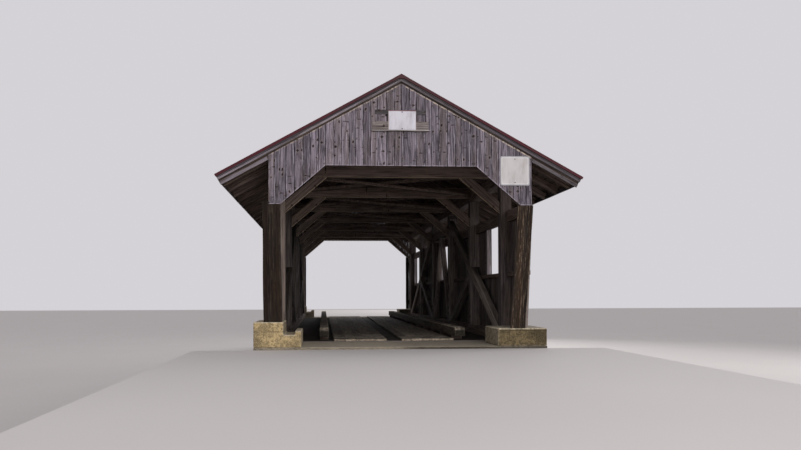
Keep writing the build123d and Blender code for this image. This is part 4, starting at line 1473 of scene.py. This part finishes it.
@dataclass
class SideBoarding:
    """Upright boards outside the trusses, open at the windows and under the eaves."""

    side: str
    finishes: Finishes
    shop: BoardShop
    seed: int
    board_width: float = 0.205
    joint: float = 0.004
    play: float = 0.003
    wander: float = 0.004
    foot_jog: float = 0.03
    sill_jog: float = 0.004
    top_jog: float = 0.025
    foot_z: float = DECK_Z - 0.45
    sill_z: float = DECK_Z + 1.55
    top_z: float = DECK_Z + 2.95
    foot_end_y: float = 8.32
    end_y: float = 9.575
    window_half: float = 0.72
    window_ys: tuple[float, ...] = (-6.88, 0.0, 6.88)
    end_foot: dict[str, float] = field(default_factory=lambda: {"left": DECK_Z + 0.5, "right": DECK_Z + 0.35})
    slant_top_z: float = DECK_Z + 2.88
    slant_run: float = 0.395

    def build(self) -> None:
        """Lay the boards in runs that end at the windows' edges.

        The near right end is sawn on a slant.
        """
        rng = random.Random(self.seed)
        edges = [-self.end_y, -self.foot_end_y]
        for y in self.window_ys:
            edges += [y - self.window_half, y + self.window_half]
        edges += [self.foot_end_y, self.end_y]
        end_foot = self.end_foot[self.side]
        planks = []
        for low, high in zip(edges, edges[1:]):
            window = any(abs((low + high) / 2 - y) < 0.01 for y in self.window_ys)
            end = abs(low + high) / 2 > self.foot_end_y
            for first, second in split_run(low, high, self.board_width, rng, 0.2):
                foot = end_foot if end else self.foot_z + rng.uniform(0, self.foot_jog)
                head, jog = (self.sill_z, self.sill_jog) if window else (self.top_z, self.top_jog)
                top = head - rng.uniform(0, jog)
                x = SIDES[self.side] * (WALL_X + BOARD / 2 + rng.uniform(-0.001, 0.001))
                stand = upright_side(x, (first + second) / 2, (foot + top) / 2)
                planks.append(Plank(stand, top - foot, second - first - self.joint, BOARD - self.play,
                                    self.wander))
        obj = self.shop.lay(f"{self.side}_siding_boards", planks, rng.randrange(SEEDS))
        if self.side == "right":
            slant = Vector((0, end_foot - self.slant_top_z, -self.slant_run)).normalized()
            slice_off(obj, (0, -self.end_y, self.slant_top_z), slant)
        place(obj, self.finishes.siding, "siding_board", f"{self.side}_siding_lower",
              f"{self.side}_siding_upper")


@dataclass
class Floor:
    """The deck's planks across the bridge, and the running planks on them."""

    finishes: Finishes
    shop: BoardShop
    plank_width: float = 0.25
    plank_joint: float = 0.005
    deck_half: float = 2.44
    deck_end: float = 8.075
    thickness: float = 0.075
    track_low: float = 0.17
    track_high: float = 1.36
    track_drift: float = 0.25
    track_end: float = 8.06
    track_thickness: float = 0.05
    track_boards: int = 5
    first_lengths: Pair = (1.6, 4.2)
    later_lengths: Pair = (3.2, 4.6)
    deck_seed: int = 301
    track_seed: int = 311

    def deck(self) -> None:
        """Lay the deck's planks."""
        rng = random.Random(self.deck_seed)
        planks = []
        for first, second in split_run(-self.deck_end, self.deck_end, self.plank_width, rng, 0.1):
            drop = rng.uniform(0.0, 0.003)
            middle = Matrix.Translation((rng.uniform(-0.004, 0.004), (first + second) / 2,
                                         DECK_Z - self.thickness / 2 - drop))
            planks.append(Plank(middle, 2 * self.deck_half - 0.01, second - first - self.plank_joint,
                                self.thickness - 0.004, 0.003))
        place(self.shop.lay("deck_planks", planks, self.deck_seed + 1), self.finishes.plank, "deck_plank",
              "deck")

    def tracks(self) -> None:
        """Lay the running planks in staggered lengths; the gap between the tracks drifts to the right."""
        rng = random.Random(self.track_seed)
        width = self.track_high - self.track_low
        planks = []
        for side in (-1, 1):
            pitch = width / self.track_boards
            for first, second in split_run(self.track_low, self.track_high, pitch, rng, 0.12):
                for start, stop in staggered(self.track_end, self.first_lengths, self.later_lengths, rng):
                    z = DECK_Z + self.track_thickness / 2 - rng.uniform(0.001, 0.004)
                    middle = lengthwise(side * (first + second) / 2, (start + stop) / 2, z)
                    planks.append(Plank(middle, stop - start - 0.002, second - first - 0.001,
                                        self.track_thickness - 0.003, 0.001, 0.0015))
        tracks = self.shop.lay("running_planks", planks, self.track_seed + 1)
        for vert in tracks.data.vertices:
            drift = self.track_drift * (vert.co.y + self.track_end) / (2 * self.track_end)
            vert.co.x += drift * ((self.track_high - abs(vert.co.x)) / width)
        place(tracks, self.finishes.track, "track_plank", "wheel_tracks")

    def build(self) -> None:
        """Lay both layers."""
        self.deck()
        self.tracks()


@dataclass
class SheetDraft:
    """Collects the strips of a sheet before they become a mesh."""

    length: float
    rows: int = 11
    points: list[tuple[float, float, float]] = field(default_factory=list)
    faces: list[tuple[int, ...]] = field(default_factory=list)
    tones: list[float] = field(default_factory=list)

    def strip(self, profile: Sequence[Pair], tone: float) -> None:
        """Sweep a closed profile in (y, z) down the slope.

        Args:
            profile: The profile's corners.
            tone: The strip's tone.
        """
        start, size = len(self.points), len(profile)
        for row in range(self.rows):
            x = self.length * row / (self.rows - 1)
            self.points += [(x, y, z) for y, z in profile]
            self.tones += [tone] * size
        for row in range(self.rows - 1):
            for index in range(size):
                a = start + row * size + index
                b = start + row * size + (index + 1) % size
                self.faces.append((a, b, b + size, a + size))
        self.faces.append(tuple(start + index for index in reversed(range(size))))
        self.faces.append(tuple(start + (self.rows - 1) * size + index for index in range(size)))


@dataclass
class Roof:
    """The boards on the rafters, the seamed sheets on them and the eave boards."""

    finishes: Finishes
    shop: BoardShop
    board_top: float = 0.002
    board_width: float = 0.22
    board_end: float = PORTAL_Y - 0.002
    board_play: float = 0.002
    first_lengths: Pair = (1.5, 4.0)
    later_lengths: Pair = (3.0, 4.8)
    sheet_end: float = 9.66
    sheet_gauge: float = 0.0016
    sheet_columns: int = 9
    seam_pitch: float = 0.4
    seam_height: float = 0.025
    seam_fold: float = 0.006
    seam_half: float = 0.003
    eave_top: float = 0.027
    eave_depth: float = 0.177
    eave_joints: tuple[float, ...] = (-9.573, -5.2, -1.1, 2.9, 6.6, 9.573)
    row_seed: int = 400
    board_seed: int = 410
    sheet_seed: int = 420
    eave_seed: int = 441

    def boards(self, side: str) -> None:
        """Lay one slope's boards in staggered lengths.

        Args:
            side: The slope.
        """
        sign = SIDES[side]
        rng = random.Random(self.row_seed + sign)
        planks = []
        for first, second in split_run(0.02, SLOPE - 0.004, self.board_width, rng, 0.12):
            for start, stop in staggered(self.board_end, self.first_lengths, self.later_lengths, rng):
                middle = Matrix.Translation(((first + second) / 2, (start + stop) / 2 * sign,
                                             -self.board_top - BOARD / 2))
                planks.append(Plank(roof_frame(sign) @ middle @ SIDEWAYS, stop - start - 0.004,
                                    second - first - 0.005, BOARD - self.board_play, 0.002, 0.0005))
        boards = self.shop.lay(f"{side}_roof_planks", planks, self.board_seed + sign)
        place(boards, self.finishes.roof_board, "roof_board", f"{side}_roof_boards")

    def pan(self, y: float) -> list[Pair]:
        """Profile of the flat pan between two seams, kept within the roof's ends.

        Args:
            y: Its first seam.

        Returns:
            The profile's corners, or none where the pan would lie past the ends.
        """
        low, high = max(y, -self.sheet_end), min(y + self.seam_pitch, self.sheet_end)
        if high - low < 0.01:
            return []
        last = self.sheet_columns - 1
        steps = [low + (high - low) * index / last for index in range(self.sheet_columns)]
        return [(step, -self.sheet_gauge) for step in steps] + [(step, 0.0) for step in reversed(steps)]

    def seam(self, y: float) -> list[Pair]:
        """Profile of a standing seam that is folded over at its top.

        Args:
            y: Where it stands.

        Returns:
            The profile's corners.
        """
        half, fold, top = self.seam_half, self.seam_fold, self.seam_height
        return [(y - half, 0.0), (y + half, 0.0), (y + half, top - 0.012), (y + fold, top - 0.010),
                (y + fold, top - 0.002), (y + fold - 0.002, top), (y - fold + 0.002, top),
                (y - fold, top - 0.002), (y - half, top - 0.004)]

    def sheet(self, side: str) -> None:
        """Lay one slope's sheets: flat pans, and folded seams between them.

        Args:
            side: The slope.
        """
        sign = SIDES[side]
        rng = np.random.default_rng(self.sheet_seed + sign)
        draft = SheetDraft(SLOPE + 0.009)
        count = round(2 * self.sheet_end / self.seam_pitch)
        first = -self.seam_pitch * (count // 2)
        for index in range(-1, count + 1):
            pan = self.pan(first + self.seam_pitch * index)
            if pan:
                tone, _ = rng.uniform(0, 1, 2)
                draft.strip(pan, float(tone))
        for index in range(count + 1):
            y = first + self.seam_pitch * index
            if abs(y) <= self.sheet_end - 0.01:
                draft.strip(self.seam(y), float(rng.uniform(0.2, 0.8)))
        mesh = bpy.data.meshes.new("sheet")
        mesh.from_pydata(draft.points, [], draft.faces)
        store(mesh, "tone", draft.tones)
        mesh.transform(roof_frame(sign))
        obj = add_object(f"{side}_roof_sheets", mesh)
        slice_off(obj, (0, 0, 0), (-sign, 0, 0))
        face_outward(obj)
        place(obj, self.finishes.roofing, "roof_metal", f"{side}_roof_sheet")

    def eaves(self) -> None:
        """Nail the eave boards across the rafters' tails."""
        depth = (self.eave_top + self.eave_depth) / 2
        width = self.eave_depth - self.eave_top - self.board_play
        planks = []
        for side in (-1, 1):
            for low, high in zip(self.eave_joints, self.eave_joints[1:]):
                middle = Matrix.Translation((SLOPE - BOARD / 2, (low + high) / 2, -depth))
                planks.append(Plank(roof_frame(side) @ middle @ (SIDEWAYS @ ON_EDGE), high - low - 0.003,
                                    width, BOARD - self.board_play, 0.004))
        place(self.shop.lay("eave_planks", planks, self.eave_seed), self.finishes.rake, "rake_board",
              "eave_boards")

    def build(self) -> None:
        """Cover both slopes."""
        for side in SIDES:
            self.boards(side)
            self.sheet(side)
        self.eaves()


@dataclass
class Ironwork:
    """Bolt heads on washers where the timbers cross, and the plates' fixings."""

    finishes: Finishes
    frame_ys: tuple[float, ...] = (-7.95, -4.77, -1.59, 1.59, 4.77, 7.95)
    inner_x: float = 2.45
    tie_face: float = 0.0601
    head_z: float = 3.18
    head_shifts: Pair = (-0.055, 0.055)
    heel_zs: Pair = (0.45, 0.62)
    heel_reach: float = 7
    knee_spots: tuple[Pair, Pair] = ((1.78, 3.50), (2.30, 3.06))
    washer_radius: float = 0.036
    washer_height: float = 0.006
    head_half: float = 0.016
    head_top: float = 0.022
    plate_fixings: tuple[tuple[float, float, float], ...] = (
        (0.014, -PORTAL_Y - 0.0233, 4.765), (0.014, -PORTAL_Y - 0.0233, 4.425),
        (2.348, -PORTAL_Y - 0.0028, 3.830), (2.348, -PORTAL_Y - 0.0028, 3.345))

    def pattern(self) -> bpy.types.Mesh:
        """A round washer with a square bolt head, facing +z, in metres.

        Returns:
            Its mesh.
        """
        deselect()
        bpy.ops.mesh.primitive_cylinder_add(vertices=14, radius=self.washer_radius, depth=self.washer_height,
                                            location=(0, 0, self.washer_height / 2))
        washer = bpy.context.active_object
        edit_facing(washer, Z_AXIS, bpy.ops.mesh.inset, thickness=0.018, depth=0.0015)
        head = add_block("head", (-self.head_half, -self.head_half, 0.005),
                         (self.head_half, self.head_half, self.head_top))
        edit_facing(head, Z_AXIS, bpy.ops.mesh.inset, thickness=0.004, depth=0.003)
        bolt = join("bolt", [washer, head])
        activate(bolt)
        bpy.ops.object.transform_apply(location=True, rotation=True, scale=True)
        mesh = bolt.data.copy()
        bpy.data.objects.remove(bolt)
        return mesh

    def spots(self) -> list[tuple[Vector, Vector, float]]:
        """Where the bolts are, which way they face and how large they are.

        Returns:
            The place, direction and scale of each.
        """
        spots = []
        for side in (-1, 1):
            inward = -side * X_AXIS
            inner = side * self.inner_x
            for y in self.frame_ys:
                half = -1 if y < 0 else 1
                spots += [(Vector((inner, y + shift, DECK_Z + self.head_z)), inward, 1.0)
                          for shift in self.head_shifts]
                if abs(y) < self.heel_reach:
                    spots += [(Vector((inner, y, DECK_Z + z)), inward, 0.9) for z in self.heel_zs]
                spots += [(Vector((side * x, y + half * self.tie_face, DECK_Z + z)), half * Y_AXIS, 0.8)
                          for x, z in self.knee_spots]
        return spots + [(Vector((x, y, DECK_Z + z)), -Y_AXIS, 0.32) for x, y, z in self.plate_fixings]

    def build(self) -> None:
        """Copy the bolt to every spot."""
        pattern = self.pattern()
        base = [vert.co for vert in pattern.vertices]
        points, faces = [], []
        for spot, normal, scale in self.spots():
            turn = normal.to_track_quat("Z", "Y").to_matrix()
            start = len(points)
            points += [turn @ (point * scale) + spot for point in base]
            faces += [tuple(corner + start for corner in face.vertices) for face in pattern.polygons]
        mesh = bpy.data.meshes.new("truss_bolts")
        mesh.from_pydata(points, [], faces)
        place(add_object("truss_bolts", mesh), self.finishes.iron, "truss_timber")


@dataclass
class Studio:
    """Pale floor, soft light and the camera."""

    camera_at: tuple[float, float, float] = (-1.594, -23.218, 3.745)
    yaw: float = -3.59
    pitch: float = 1.06
    roll: float = 0.16
    lens: float = 30.28
    shift: Pair = (0.0434, 0.0714)
    floor_half: float = 150
    road_z: float = 2.635
    road_x: float = 4.2
    road_end: float = 26.0
    sky: Color = (0.88, 0.86, 0.90)
    sky_strength: float = 0.75

    def floor(self) -> None:
        """Lay the floor, and raise a plain road to each portal."""
        paint = StudioFinish().material()
        pieces = [add_block("studio_floor", (-self.floor_half, -self.floor_half, -0.05),
                            (self.floor_half, self.floor_half, 0.0)),
                  add_block("studio_near_road", (-self.road_x, -self.road_end, 0.0),
                            (self.road_x, -PORTAL_Y, self.road_z)),
                  add_block("studio_far_road", (-self.road_x, PORTAL_Y, 0.0),
                            (self.road_x, self.road_end, self.road_z))]
        for piece in pieces:
            piece.data.materials.append(paint)

    def light(self) -> None:
        """Set the world's even light, and hang three large soft lamps."""
        world = bpy.data.worlds.new("studio_sky")
        world.use_nodes = True
        background = world.node_tree.nodes["Background"]
        background.inputs["Color"].default_value = (*self.sky, 1)
        background.inputs["Strength"].default_value = self.sky_strength
        bpy.context.scene.world = world
        for name, at, aim, size, power in (("key", (5, -34, 9), (0, -6, 4), 12, 3000),
                                           ("far_key", (12, 30, 15), (0, 6, 4), 12, 2200),
                                           ("side_key", (30, 4, 16), (0, 0, 4), 14, 2600)):
            data = bpy.data.lights.new(name, "AREA")
            data.size, data.energy = size, power
            lamp = add_object(name, data)
            lamp.location = at
            lamp.rotation_euler = (Vector(aim) - Vector(at)).to_track_quat("-Z", "Y").to_euler()

    def camera(self) -> None:
        """Stand the camera beside the road's axis, as the photograph has it."""
        data = bpy.data.cameras.new("camera")
        data.lens, data.sensor_width, data.clip_end = self.lens, 36, 500
        data.shift_x, data.shift_y = self.shift
        camera = add_object("camera", data)
        camera.location = self.camera_at
        camera.rotation_euler = Euler([math.radians(turn) for turn in (90 + self.pitch, self.roll, self.yaw)])
        bpy.context.scene.camera = camera

    def build(self) -> None:
        """Set up the studio."""
        self.floor()
        self.light()
        self.camera()
        bpy.context.scene.view_settings.view_transform = "Standard"


def main() -> None:
    """Build the bridge piece by piece."""
    logging.basicConfig(level=logging.INFO, format="%(name)s: %(message)s")
    deselect()
    Studio().build()
    finishes = Finishes()
    shop = BoardShop()
    CarriedTimbers(finishes).build()
    for index, end in enumerate(ENDS):
        Gable(end, finishes, shop, seed=11 + index).build()
        EndPanels(end, finishes, shop, seed=21 + index).build()
        Rake(end, finishes, shop, seed=31 + 2 * index).build()
    for index, side in enumerate(SIDES):
        SideBoarding(side, finishes, shop, seed=41 + index).build()
    Signs(finishes, shop).build()
    Floor(finishes, shop).build()
    Roof(finishes, shop).build()
    Ironwork(finishes).build()


if __name__ == "__main__":
    main()
